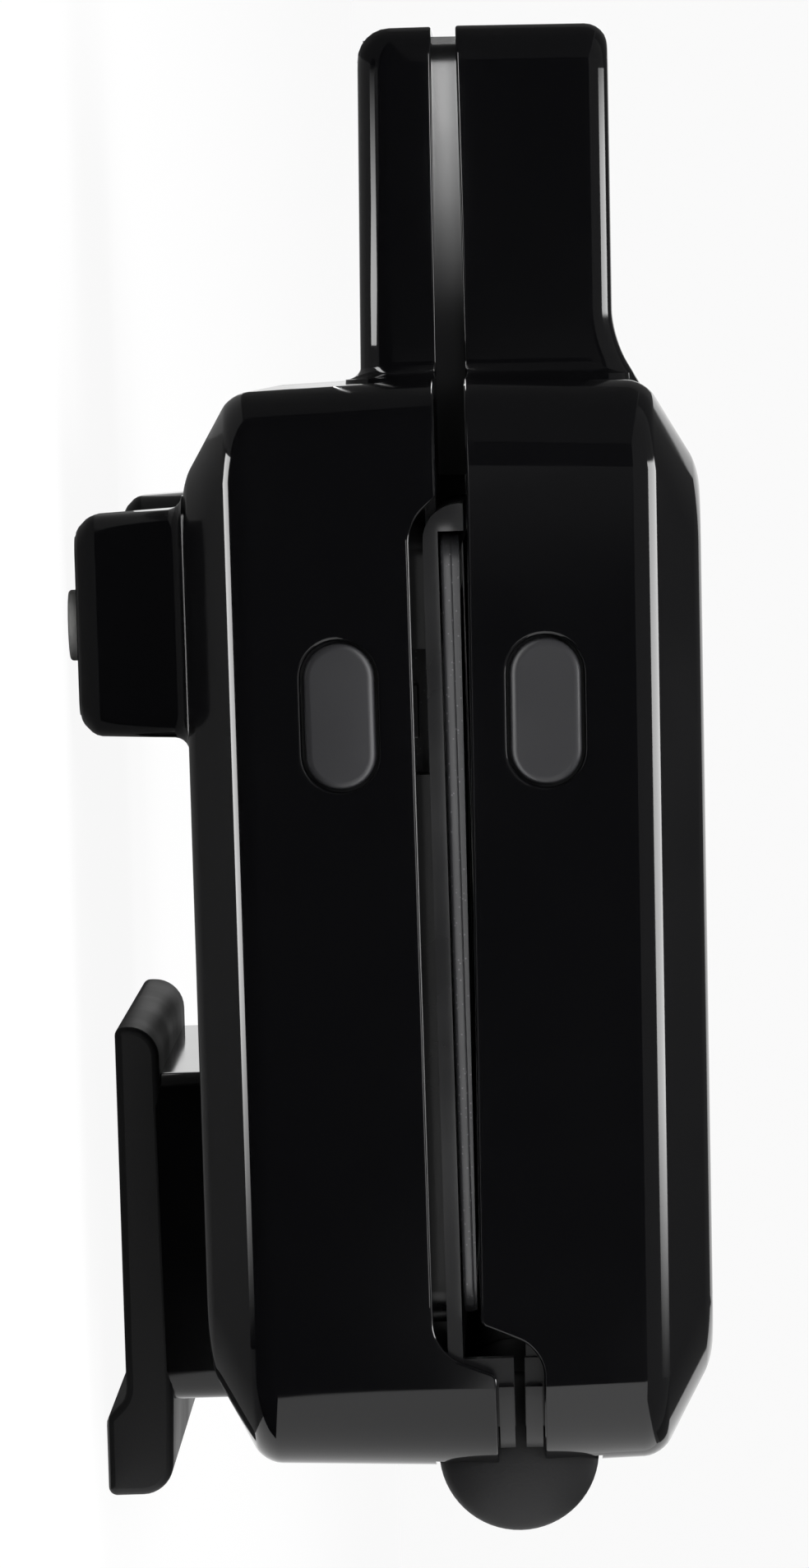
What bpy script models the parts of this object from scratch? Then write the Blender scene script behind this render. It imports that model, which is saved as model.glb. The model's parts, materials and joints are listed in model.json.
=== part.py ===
"""Hinged sandwich toaster with lift-out plates.

The toaster lies on its feet: +X is the side with the release buttons, -Y the handle, +Y the hinge and +Z the
lid. The origin is on the floor, under the middle of the outline. Units are metres. The lid's pieces are made
level and then turned about the hinge, because the lid rests a little open. Inside each half, a depth is
measured from the face of its frame that carries the plate, into the shell.
"""

import math
from dataclasses import dataclass

import bmesh
import bpy
from mathutils import Matrix, Vector

# Gaps
CLEAR = 0.0003
SLIDE = 0.0005
FIT = 0.0006
SINK = 0.001
HAIR = 0.0001
TOUCH = 0.000001
PARALLEL = 0.999
PAST = 0.010

# Shells
CORNER_RADIUS = 0.013
WALL = 0.0025
DRAFT = math.radians(2.0)
CHAMFER_RUN = 0.015
CHAMFER_RISE = 0.009
EDGE_ROUND = 0.003
GROUND_CLEARANCE = 0.020
BASE_HEIGHT = 0.043
LID_HEIGHT = 0.039
RIM_GAP = 0.0028
LID_AJAR = math.radians(0.8)

# Seam: the base rim drops along the sides and rises at the rear, where the lid rim is cut away
SIDE_DROP = 0.0048
SIDE_START = 0.0194
SIDE_SLANT = 0.0045
SIDE_END = 0.021
REAR_RISE = 0.0055
REAR_RISE_END = 0.0167
LID_STEP = 0.0104
LID_STEP_START = 0.0252
LID_STEP_END = 0.0209
SEAM_ROUND = 0.007
STEP_ROUND = 0.0065
SEAM_SOFT = 0.0015

# Handle halves
HANDLE_REACH = 0.0605
HANDLE_WIDTH = 0.116
HANDLE_BELOW = 0.0125
HANDLE_ABOVE = 0.0252
HANDLE_TIP_RISE = 0.0010
HANDLE_TIP_DROP = 0.0012
HANDLE_CORNER = 0.008
HANDLE_EDGE = 0.004
HANDLE_ROOT = 0.006
FLARE_REACH = 0.0100
FLARE_RISE = 0.0043

# Hinge
HINGE_RADIUS = 0.0134
HINGE_BEHIND = -0.0023
HINGE_LIFT = 0.0088
BARREL_INSET = 0.014
LID_KNUCKLE_LENGTH = 0.116
CAP_DOME = 0.0035
ROD_RADIUS = 0.0025
LEAF_THICK = 0.003
LEAF_LENGTH = 0.0085
LEAF_INSET = 0.004

# Plates
PLATE_WIDTH = 0.227
PLATE_DEPTH = 0.1305
PLATE_SIDE = 0.0065
PLATE_START = 0.0258
PLATE_END = 0.0262
PLATE_FLANGE = 0.0021
PLATE_CORNER = 0.006
PAN_INSET = 0.013
PAN_INSET_Y = 0.0085
PAN_DEPTH = 0.0085
POCKET_DEPTH = 0.0062
POCKET_WALL = 0.0045
POCKET_RIDGE = 0.0035
POCKET_ROUND = 0.006
POCKET_TAPER = 0.86
LEDGE_REACH = 0.0025
LEDGE_THICK = 0.0018

# Frames
LIP_INSET = 0.0033
LIP_THICK = 0.0025
LIP_START = 0.0208
LIP_ROUND = 0.006
FRONT_WALL_RISE = 0.0043
PAN_GAP = 0.001
SKIRT_GAP = 0.003
SKIRT_WALL = 0.0075
SKIRT_DEPTH = 0.0099
DECK_THICK = 0.002
DECK_STEP = 0.0015
FILLER_RISE = 0.0056
FILLER_END = 0.017
COLLAR_WALL = 0.003
COLLAR_RISE = 0.0084
COLLAR_DROP = 0.0032
COLLAR_HEIGHT = 0.005

# Heaters and reflectors
HEATER_RADIUS = 0.0032
HEATER_INSET = 0.020
HEATER_BEND = 0.011
HEATER_ENDS = 0.024
SHEET = 0.0008
TRAY_INSET = 0.0045

# Release buttons and plate catches
BUTTON_LENGTH = 0.0242
BUTTON_HEIGHT = 0.0118
BUTTON_BACK = 0.0554
BUTTON_DROP = 0.0171
BUTTON_LIFT = 0.0125
BUTTON_PROUD = 0.0004
BUTTON_LIP = 0.0012
BUTTON_LIP_THICK = 0.0015
PUSHER_RADIUS = 0.001
PUSHER_LENGTH = 0.008
CATCH_OFFSET = 0.0065
CATCH_WIDTH = 0.009
CATCH_INNER = 0.0025
CATCH_OUTER = 0.002
CATCH_NOSE = 0.0055
CATCH_NOSE_THICK = 0.002
NOSE_DEPTH = 0.0051
PIVOT_DEPTH = 0.0088
PUSH_DEPTH = 0.0144
CATCH_TAIL = 0.0072
PIN_RADIUS = 0.0011
PIN_PLAY = 0.00015
EAR_SPAN = 0.021
EAR_WIDTH = 0.003
EAR_REACH = 0.0032
SPRING_RADIUS = 0.0019
SPRING_WIRE = 0.0003
SPRING_PITCH = 0.0012
SPRING_TURNS = 3

# Latch
LATCH_WIDTH = 0.034
LATCH_THICK = 0.0021
LATCH_INSET = 0.0007
LATCH_PIVOT_RISE = 0.0165
LATCH_DROP = 0.0085
LATCH_BARREL = 0.0019
LATCH_RECESS = 0.0043
LATCH_BLOCK = 0.007
LATCH_BEAD = 0.0008
CATCH_BEAD = 0.0003
BEAD_RISE = 0.001
CATCH_BEAD_RISE = 0.0038
LATCH_PIN_RADIUS = 0.001

# Feet and cord wrap
FOOT_LENGTH = 0.0385
FOOT_WIDTH = 0.024
FOOT_INSET = 0.032
FOOT_BACK = 0.0399
FOOT_DRAFT = 0.94
FOOT_CHAMFER = 0.0027
FOOT_ROUND = 0.003
PAD_RADIUS = 0.006
PAD_PROUD = 0.0016
PAD_SEAT = 0.0014
PAD_EDGE = 0.0005
WRAP_WIDTH = 0.112
WRAP_FRONT = 0.0715
WRAP_REACH = 0.0102
WRAP_STEM_FRONT = 0.063
WRAP_STEM_REAR = 0.0059
WRAP_FLANGE_LOW = 0.0036
WRAP_FLANGE_HIGH = 0.0112
WRAP_FOOT_LENGTH = 0.0135
WRAP_FOOT_HIGH = 0.0118
WRAP_ROUND = 0.0054

# Screws, lamps and electrical pieces
SCREW_RADIUS = 0.0015
SCREW_HEAD = 0.003
SCREW_HEAD_HIGH = 0.0018
SCREW_BITE = 0.010
BOSS_RADIUS = 0.004
SCREW_INSET = 0.004
WRAP_SCREW_SPACING = 0.070
LENS_RADIUS = 0.003
LENS_PROUD = 0.0006
LENS_SPACING = 0.020
LENS_BACK = 0.034
BOARD_DROP = 0.0054
BOARD_THICK = 0.0016
BOARD_SIZE = (0.036, 0.020)
THERMOSTAT_RADIUS = 0.008
THERMOSTAT_HIGH = 0.009
FUSE_RADIUS = 0.0025
FUSE_LENGTH = 0.028
FUSE_GAP = 0.0187
BLOCK_SIZE = (0.034, 0.018, 0.013)
BLOCK_X = -0.0365
BLOCK_BACK = 0.0165
BUSHING_RADIUS = 0.006
BUSHING_BORE = 0.0035
BUSHING_FLANGE = 0.0013
BUSHING_X = -0.075
LEAD_RADIUS = 0.0014

# Facets
CORNER_STEPS = 5
ARC_STEPS = 4
TRAY_STEPS = 3
EDGE_STEPS = 2
ROUND_STEPS = 24
BORE_STEPS = 16
PIN_STEPS = 12
SCREW_STEPS = 10
COIL_STEPS = 8
ROUTE_STEPS = 3
SHARP = math.radians(30.0)

# Heights and places that follow from the sizes
BODY_WIDTH = PLATE_WIDTH + 2 * PLATE_SIDE
BODY_DEPTH = PLATE_START + PLATE_DEPTH + PLATE_END
BASE_PANEL = GROUND_CLEARANCE
BASE_RIM = BASE_PANEL + BASE_HEIGHT
SIDE_RIM = BASE_RIM - SIDE_DROP
REAR_RIM = BASE_RIM + REAR_RISE
LID_RIM = BASE_RIM + RIM_GAP
LID_REAR_RIM = LID_RIM + LID_STEP
LID_TOP = LID_RIM + LID_HEIGHT
HINGE_Z = BASE_RIM + HINGE_LIFT
TIP_Y = -(HANDLE_REACH + BODY_DEPTH + HINGE_BEHIND + HINGE_RADIUS) / 2
FRONT_Y = TIP_Y + HANDLE_REACH
REAR_Y = FRONT_Y + BODY_DEPTH
MID_Y = (FRONT_Y + REAR_Y) / 2
HINGE_Y = REAR_Y + HINGE_BEHIND
BARREL_HALF = BODY_WIDTH / 2 - BARREL_INSET
PLATE_FRONT = FRONT_Y + PLATE_START
PLATE_REAR = PLATE_FRONT + PLATE_DEPTH
PAN_HALF = PLATE_WIDTH / 2 - PAN_INSET
PAN_FRONT = PLATE_FRONT + PAN_INSET_Y
PAN_REAR = PLATE_REAR - PAN_INSET_Y
SKIRT_IN = PAN_HALF + SKIRT_GAP
SKIRT_OUT = SKIRT_IN + SKIRT_WALL
SKIRT_FRONT = PAN_FRONT - SKIRT_GAP - SKIRT_WALL
SKIRT_REAR = PAN_REAR + SKIRT_GAP + SKIRT_WALL
LIP_HALF = BODY_WIDTH / 2 - LIP_INSET
LIP_FRONT = FRONT_Y + LIP_START
LIP_REAR = HINGE_Y - HINGE_RADIUS - SINK
TONGUE_HALF = HANDLE_WIDTH / 2 - WALL - FIT
TONGUE_FRONT = TIP_Y + WALL + FIT
HEATER_DEPTH = PAN_DEPTH + CLEAR + HEATER_RADIUS
TRAY_DEPTH = HEATER_DEPTH + HEATER_RADIUS + CLEAR + SHEET
FLANGE_DEPTH = SKIRT_DEPTH + CLEAR
CATCH_X = PAN_HALF + CATCH_OFFSET
BUTTON_Y = FRONT_Y + BUTTON_BACK
LATCH_Y = TIP_Y + LATCH_RECESS - LATCH_BARREL - CLEAR
LATCH_Z = LID_RIM + LATCH_PIVOT_RISE
FOOT_X = BODY_WIDTH / 2 - FOOT_INSET
FOOT_Y = FRONT_Y + FOOT_BACK
BLOCK_Y = MID_Y + BLOCK_BACK
SCREW_X = (SKIRT_IN + SKIRT_OUT) / 2
SCREW_ROWS = (SKIRT_FRONT + SKIRT_WALL + SCREW_INSET, SKIRT_REAR - SKIRT_WALL - SCREW_INSET)

FINISHES = {
    "gloss_black": ((0.006, 0.006, 0.007), 0.08, 0.0),
    "satin_black": ((0.014, 0.014, 0.015), 0.45, 0.0),
    "matte_black": ((0.012, 0.012, 0.012), 0.60, 0.0),
    "button_grey": ((0.060, 0.060, 0.064), 0.50, 0.0),
    "foot_rubber": ((0.120, 0.120, 0.120), 0.85, 0.0),
    "plate_coating": ((0.045, 0.045, 0.048), 0.38, 0.6),
    "bright_sheet": ((0.620, 0.620, 0.620), 0.30, 1.0),
    "heater_steel": ((0.200, 0.190, 0.180), 0.45, 1.0),
    "pin_steel": ((0.500, 0.500, 0.500), 0.28, 1.0),
    "ceramic": ((0.700, 0.680, 0.620), 0.60, 0.0),
    "lead_sleeve": ((0.640, 0.620, 0.560), 0.70, 0.0),
    "board": ((0.080, 0.160, 0.070), 0.60, 0.0),
    "red_lens": ((0.450, 0.010, 0.010), 0.15, 0.0),
    "green_lens": ((0.010, 0.300, 0.050), 0.15, 0.0),
}


@dataclass(frozen=True)
class Half:
    """One half of the toaster: its names, its levels and the pivot that its pieces turn with."""

    name: str
    shell: str
    ring: float
    inward: int
    rim: float
    panel: float
    button_z: float
    pivot: object

    def at(self, depth):
        """Returns the height of a depth behind the frame's face."""
        return self.ring + self.inward * depth

    def box(self, x_span, y_span, depths):
        """Returns a box between two depths."""
        z_span = sorted(self.at(depth) for depth in depths)
        return box(*zip(x_span, y_span, z_span))

    def wall_x(self, height):
        """Returns the outer half width of the shell's side wall at a height."""
        return BODY_WIDTH / 2 - math.tan(DRAFT) * abs(height - self.rim)


def clear_scene():
    """Removes whatever the file opened with."""
    for obj in list(bpy.data.objects):
        bpy.data.objects.remove(obj)


def new_collection(name):
    """Returns a new collection of the scene."""
    collection = bpy.data.collections.new(name)
    bpy.context.scene.collection.children.link(collection)
    return collection


def finish(name):
    """Returns the material of a finish, made on first use."""
    material = bpy.data.materials.get(name)
    if material:
        return material
    colour, roughness, metallic = FINISHES[name]
    material = bpy.data.materials.new(name)
    material.use_nodes = True
    shader = material.node_tree.nodes["Principled BSDF"]
    shader.inputs["Base Color"].default_value = (*colour, 1.0)
    shader.inputs["Roughness"].default_value = roughness
    shader.inputs["Metallic"].default_value = metallic
    return material


def place(obj, pivot=None, finish_name=None):
    """Links an object as a part, or as a cutter when it has no finish, and hangs it on its pivot."""
    if finish_name:
        PARTS.objects.link(obj)
        obj.data.materials.append(finish(finish_name))
    else:
        CUTTERS.objects.link(obj)
        obj.hide_render = True
        obj.display_type = "WIRE"
    if pivot:
        obj.parent = pivot
        obj.matrix_parent_inverse = Matrix.Translation(-pivot.location)
    return obj


def face_out(bm):
    """Turns the faces of a closed bmesh outward."""
    bmesh.ops.recalc_face_normals(bm, faces=bm.faces)
    if bm.calc_volume(signed=True) < 0.0:
        bmesh.ops.reverse_faces(bm, faces=bm.faces)


def add(name, bm, finish_name=None, pivot=None, origin=(0.0, 0.0, 0.0)):
    """Returns a new object made of a bmesh in world coordinates, with its origin at a point."""
    face_out(bm)
    bm.transform(Matrix.Translation(-Vector(origin)))
    mesh = bpy.data.meshes.new(name)
    bm.to_mesh(mesh)
    bm.free()
    mesh.shade_smooth()
    mesh.set_sharp_from_angle(angle=SHARP)
    obj = bpy.data.objects.new(name, mesh)
    obj.location = origin
    return place(obj, pivot, finish_name)


def boolean(target, operation, *shapes):
    """Joins shapes to an object, or cuts them from it; a shape is a bmesh or a cutter already placed."""
    for shape in shapes:
        modifier = target.modifiers.new(operation.title(), "BOOLEAN")
        modifier.operation = operation
        modifier.solver = "EXACT"
        if isinstance(shape, bmesh.types.BMesh):
            shape = add(f"{target.name}_{len(target.modifiers)}", shape, pivot=target.parent)
        modifier.object = shape


def join(target, *shapes):
    """Joins shapes to an object."""
    boolean(target, "UNION", *shapes)


def cut(target, *shapes):
    """Cuts shapes from an object."""
    boolean(target, "DIFFERENCE", *shapes)


def box(low, high):
    """Returns a box between two corners."""
    bm = bmesh.new()
    low, high = Vector(low), Vector(high)
    size = Matrix.Diagonal((high - low).to_4d())
    bmesh.ops.create_cube(bm, size=1.0, matrix=Matrix.Translation((low + high) / 2) @ size)
    return bm


def along(bm, axis):
    """Returns the edges that run along an axis."""
    return [e for e in bm.edges if abs((e.verts[0].co - e.verts[1].co).normalized()[axis]) > PARALLEL]


def bevel(bm, edges, width, steps):
    """Rounds edges of a bmesh."""
    bmesh.ops.bevel(bm, geom=edges, offset=width, segments=steps, profile=0.5, affect="EDGES")


def rounded_box(low, high, radius, axis=2, steps=CORNER_STEPS):
    """Returns a box whose edges along one axis are rounded."""
    bm = box(low, high)
    bevel(bm, along(bm, axis), radius, steps)
    return bm


def cylinder(centre, radius, length, axis, steps=ROUND_STEPS):
    """Returns a cylinder about a centre, along an axis."""
    turn = {"X": Matrix.Rotation(math.pi / 2, 4, "Y"), "Y": Matrix.Rotation(math.pi / 2, 4, "X"), "Z": Matrix()}
    bm = bmesh.new()
    matrix = Matrix.Translation(centre) @ turn[axis]
    bmesh.ops.create_cone(
        bm, cap_ends=True, segments=steps, radius1=radius, radius2=radius, depth=length, matrix=matrix
    )
    return bm


def merged(*shapes):
    """Returns several separate shapes as one bmesh, for one cutter."""
    whole = bmesh.new()
    for bm in shapes:
        mesh = bpy.data.meshes.new("merged")
        face_out(bm)
        bm.to_mesh(mesh)
        bm.free()
        whole.from_mesh(mesh)
        bpy.data.meshes.remove(mesh)
    return whole


def corner_arc(before, corner, after, radius):
    """Returns the points of the arc that rounds a corner of an outline."""
    corner = Vector(corner)
    back = (Vector(before) - corner).normalized()
    ahead = (Vector(after) - corner).normalized()
    half_angle = back.angle(ahead) / 2
    centre = corner + (back + ahead).normalized() * radius / math.sin(half_angle)
    reach = radius / math.tan(half_angle)
    start = corner + back * reach - centre
    end = corner + ahead * reach - centre
    sweep = math.atan2(start.x * end.y - start.y * end.x, start.dot(end))
    turns = (Matrix.Rotation(sweep * i / ARC_STEPS, 2) for i in range(ARC_STEPS + 1))
    return [tuple(centre + turn @ start) for turn in turns]


def rounded(points, closed=True):
    """Returns an outline whose points may each have a corner radius as a third value."""
    path = []
    for i, point in enumerate(points):
        inner = closed or 0 < i < len(points) - 1
        if len(point) == 3 and inner:
            path += corner_arc(points[i - 1][:2], point[:2], points[(i + 1) % len(points)][:2], point[2])
        else:
            path.append(tuple(point[:2]))
    return path


def prism(points, axis, span):
    """Returns an outline as a solid between two places on an axis; the outline is (y, z), (x, z) or (x, y)."""
    middle = sum(span) / 2
    frames = {
        "X": Matrix(((0, 0, 1, middle), (1, 0, 0, 0), (0, 1, 0, 0), (0, 0, 0, 1))),
        "Y": Matrix(((1, 0, 0, 0), (0, 0, -1, middle), (0, 1, 0, 0), (0, 0, 0, 1))),
        "Z": Matrix.Translation((0, 0, middle)),
    }
    curve = bpy.data.curves.new("outline", "CURVE")
    curve.dimensions = "2D"
    curve.fill_mode = "BOTH"
    curve.extrude = abs(span[1] - span[0]) / 2
    path = rounded(points)
    spline = curve.splines.new("POLY")
    spline.points.add(len(path) - 1)
    for point, (a, b) in zip(spline.points, path):
        point.co = (a, b, 0.0, 1.0)
    spline.use_cyclic_u = True
    obj = bpy.data.objects.new("outline", curve)
    CUTTERS.objects.link(obj)
    mesh = bpy.data.meshes.new_from_object(obj.evaluated_get(bpy.context.evaluated_depsgraph_get()))
    bm = bmesh.new()
    bm.from_mesh(mesh)
    bmesh.ops.remove_doubles(bm, verts=bm.verts, dist=TOUCH)
    bm.transform(frames[axis])
    bpy.data.objects.remove(obj)
    bpy.data.curves.remove(curve)
    bpy.data.meshes.remove(mesh)
    return bm


def turned(name, profile, matrix, finish_name, pivot=None, steps=ROUND_STEPS):
    """Returns a turned piece: a profile of (radius, height), top to bottom, about the Z axis of a matrix."""
    mesh = bpy.data.meshes.new(name)
    points = [(radius, 0.0, height) for radius, height in profile]
    mesh.from_pydata(points, [(i, i + 1) for i in range(len(points) - 1)], [])
    obj = bpy.data.objects.new(name, mesh)
    obj.matrix_world = matrix
    screw = obj.modifiers.new("Turn", "SCREW")
    screw.steps = screw.render_steps = steps
    screw.use_merge_vertices = True
    screw.merge_threshold = TOUCH
    return place(obj, pivot, finish_name)


def tube(name, points, radius, finish_name, pivot=None, sides=2):
    """Returns a round tube along a path."""
    curve = bpy.data.curves.new(name, "CURVE")
    curve.dimensions = "3D"
    curve.bevel_depth = radius
    curve.bevel_resolution = sides
    curve.use_fill_caps = True
    spline = curve.splines.new("POLY")
    spline.points.add(len(points) - 1)
    for point, place_at in zip(spline.points, points):
        point.co = (*place_at, 1.0)
    return place(bpy.data.objects.new(name, curve), pivot, finish_name)


def smooth_route(points):
    """Returns points of a smooth curve through a route's own points."""
    route = [Vector(point) for point in points]
    route = [2 * route[0] - route[1], *route, 2 * route[-1] - route[-2]]
    path = []
    for a, b, c, d in zip(route, route[1:], route[2:], route[3:]):
        for i in range(ROUTE_STEPS):
            t = i / ROUTE_STEPS
            path.append(
                (2 * b + (c - a) * t + (2 * a - 5 * b + 4 * c - d) * t**2 + (3 * b - a - 3 * c + d) * t**3) / 2
            )
    return [*path, route[-2]]


def screw(name, point, inward, length, pivot):
    """Makes a pan-head screw whose head seats at a point and whose shank runs inward."""
    profile = [
        (0.0, SCREW_HEAD_HIGH),
        (SCREW_HEAD, SCREW_HEAD_HIGH),
        (SCREW_HEAD, 0.0),
        (SCREW_RADIUS, 0.0),
        (SCREW_RADIUS, -length),
        (0.0, -length),
    ]
    flip = Matrix.Rotation(math.pi if inward > 0 else 0.0, 4, "X")
    turned(name, profile, Matrix.Translation(point) @ flip, "pin_steel", pivot, SCREW_STEPS)


def tub(rim, panel, grow, past, edge_round=0.0):
    """Returns a drafted block with a chamfer round its panel, grown on all sides and run past its rim."""
    towards_rim = 1 if rim > panel else -1
    panel -= towards_rim * grow
    chamfer_z = panel + towards_rim * (CHAMFER_RISE + grow / 2)
    rim += towards_rim * past
    side = grow + math.tan(DRAFT) * past
    half = Vector((BODY_WIDTH / 2 + side, BODY_DEPTH / 2 + side))
    low, high = sorted((rim, chamfer_z))
    bm = rounded_box((-half.x, MID_Y - half.y, low), (half.x, MID_Y + half.y, high), CORNER_RADIUS + grow)
    taper = math.tan(DRAFT) * abs(rim - chamfer_z)
    end = min(bm.faces, key=lambda face: abs(face.calc_center_median().z - chamfer_z) - abs(face.normal.z))
    shrink(bm, end.verts, half, taper)
    result = bmesh.ops.extrude_face_region(bm, geom=[end])
    bmesh.ops.delete(bm, geom=[end], context="FACES_ONLY")
    verts = [item for item in result["geom"] if isinstance(item, bmesh.types.BMVert)]
    for vert in verts:
        vert.co.z = panel
    shrink(bm, verts, half - Vector((taper, taper)), CHAMFER_RUN)
    if edge_round:
        levels = (chamfer_z, panel)
        loops = [e for e in bm.edges if any(all(abs(v.co.z - z) < TOUCH for v in e.verts) for z in levels)]
        bevel(bm, loops, edge_round, EDGE_STEPS)
    return bm


def shrink(bm, verts, half, inset):
    """Moves a ring of vertices in towards the body's middle line by an inset."""
    matrix = Matrix.Diagonal(((half.x - inset) / half.x, (half.y - inset) / half.y, 1.0, 1.0))
    middle = Matrix.Translation((0.0, MID_Y, 0.0))
    bmesh.ops.transform(bm, matrix=middle @ matrix @ middle.inverted(), verts=list(verts))


def handle_block(gap_z, outer_z, grow, root):
    """Returns one half of the handle, rounded round its tip and along its outer edges."""
    half = HANDLE_WIDTH / 2 + grow
    outer_z += grow * math.copysign(1.0, outer_z - gap_z)
    low, high = sorted((gap_z, outer_z))
    bm = box((-half, TIP_Y - grow, low), (half, root, high))
    tips = [e for e in along(bm, 2) if e.verts[0].co.y < TIP_Y + PAST]
    bevel(bm, tips, HANDLE_CORNER + grow, CORNER_STEPS)
    if grow == 0.0:
        edges = [e for e in bm.edges if all(abs(v.co.z - outer_z) < TOUCH for v in e.verts)]
        edges = [e for e in edges if not all(abs(v.co.y - root) < TOUCH for v in e.verts)]
        bevel(bm, edges, HANDLE_EDGE, TRAY_STEPS)
    return bm


def base_seam():
    """Returns everything above the base's rim."""
    top = LID_TOP
    points = [
        (TIP_Y - PAST, BASE_RIM + HANDLE_TIP_RISE),
        (FRONT_Y, BASE_RIM),
        (FRONT_Y + SIDE_START, BASE_RIM),
        (FRONT_Y + SIDE_START + SIDE_SLANT, SIDE_RIM, SEAM_ROUND),
        (REAR_Y - SIDE_END, SIDE_RIM, SEAM_ROUND),
        (REAR_Y - REAR_RISE_END, REAR_RIM, SEAM_SOFT),
        (REAR_Y + PAST, REAR_RIM),
        (REAR_Y + PAST, top),
        (TIP_Y - PAST, top),
    ]
    half = BODY_WIDTH / 2 + PAST
    return prism(points, "X", (-half, half))


def lid_seam():
    """Returns everything below the lid's rim."""
    points = [
        (TIP_Y - PAST, LID_RIM - HANDLE_TIP_DROP),
        (FRONT_Y + SIDE_START, LID_RIM),
        (REAR_Y - LID_STEP_START, LID_RIM, SEAM_SOFT),
        (REAR_Y - LID_STEP_END, LID_REAR_RIM, STEP_ROUND),
        (REAR_Y + PAST, LID_REAR_RIM),
        (REAR_Y + PAST, BASE_PANEL),
        (TIP_Y - PAST, BASE_PANEL),
    ]
    half = BODY_WIDTH / 2 + PAST
    return prism(points, "X", (-half, half))


def barrel_relief():
    """Returns the space that the hinge barrel and its caps turn in."""
    length = 2 * (BARREL_HALF + CAP_DOME + SINK)
    return cylinder((0.0, HINGE_Y, HINGE_Z), HINGE_RADIUS + FIT, length, "X", 2 * ROUND_STEPS)


def oval(y, z, length, height, span):
    """Returns an oval prism along X."""
    a, b, radius = length / 2, height / 2, height / 2 - HAIR
    corners = [(y - a, z - b, radius), (y + a, z - b, radius), (y + a, z + b, radius), (y - a, z + b, radius)]
    return prism(corners, "X", span)


def screw_points():
    """Returns where the frame screws stand."""
    return [(side * SCREW_X, y) for y in SCREW_ROWS for side in (-1, 1)]


def foot(side):
    """Returns one moulded foot, with its draft and its chamfered lower edges."""
    x = side * FOOT_X
    low, high = PAD_PROUD, BASE_PANEL + SINK
    size = Vector((FOOT_WIDTH / 2, FOOT_LENGTH / 2))
    corners = (x - size.x, FOOT_Y - size.y, low), (x + size.x, FOOT_Y + size.y, high)
    bm = rounded_box(*corners, FOOT_ROUND, steps=EDGE_STEPS)
    lower = [v for v in bm.verts if abs(v.co.z - low) < TOUCH]
    centre = Matrix.Translation((x, FOOT_Y, 0.0))
    scale = Matrix.Diagonal((FOOT_DRAFT, FOOT_DRAFT, 1.0, 1.0))
    bmesh.ops.transform(bm, matrix=centre @ scale @ centre.inverted(), verts=lower)
    bevel(bm, [e for e in bm.edges if all(v in lower for v in e.verts)], FOOT_CHAMFER, 1)
    return bm


def shell_bosses(half):
    """Returns the posts that the frame screws bite into, from the panel up."""
    top = half.at(FLANGE_DEPTH + SHEET + CLEAR)
    middle = (top + half.panel) / 2
    length = abs(top - half.panel)
    return merged(*(cylinder((x, y, middle), BOSS_RADIUS, length, "Z", PIN_STEPS) for x, y in screw_points()))


def screw_holes(half, radius, depths):
    """Returns the holes of the frame screws between two depths."""
    middle = half.at(sum(depths) / 2)
    length = abs(depths[1] - depths[0])
    return merged(*(cylinder((x, y, middle), radius, length, "Z", SCREW_STEPS) for x, y in screw_points()))


def latch_recess(low, high):
    """Returns the slot in the tip of the handle that the latch clip lies in."""
    half = LATCH_WIDTH / 2 + SLIDE
    return box((-half, TIP_Y - PAST, low), (half, TIP_Y + LATCH_RECESS, high))


def latch_block(low, high):
    """Returns the solid block behind the latch's slot."""
    half = LATCH_WIDTH / 2 + WALL
    return box((-half, TIP_Y + SINK, low), (half, TIP_Y + LATCH_BLOCK, high))


def button_hole(half):
    """Returns the hole in the side wall for a release button."""
    span = (BODY_WIDTH / 2 - PAST, BODY_WIDTH / 2 + PAST)
    return oval(BUTTON_Y, half.button_z, BUTTON_LENGTH + 2 * SLIDE, BUTTON_HEIGHT + 2 * SLIDE, span)


def shared_shell(half, gap_z, outer_z):
    """Returns a shell up to the cuts that both halves share."""
    shell = add(half.shell, tub(half.rim, half.panel, 0.0, SINK, EDGE_ROUND), "gloss_black", half.pivot)
    join(shell, handle_block(gap_z, outer_z, 0.0, FRONT_Y + HANDLE_ROOT))
    return shell


def hollow_shell(half, shell, gap_z, outer_z):
    """Hollows a shell, apart from its posts, and its handle, and makes the holes that both shells have."""
    cavity = add(f"{half.shell}_cavity", tub(half.rim, half.panel, -WALL, PAST), pivot=half.pivot)
    cut(cavity, shell_bosses(half))
    cut(shell, cavity)
    cut(shell, handle_block(gap_z - half.inward * PAST, outer_z, -WALL, FRONT_Y + 2 * HANDLE_ROOT))
    blind = FLANGE_DEPTH + SHEET + SCREW_BITE
    cut(shell, screw_holes(half, SCREW_RADIUS + CLEAR, (FLANGE_DEPTH, blind)))
    cut(shell, button_hole(half), barrel_relief())


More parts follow.
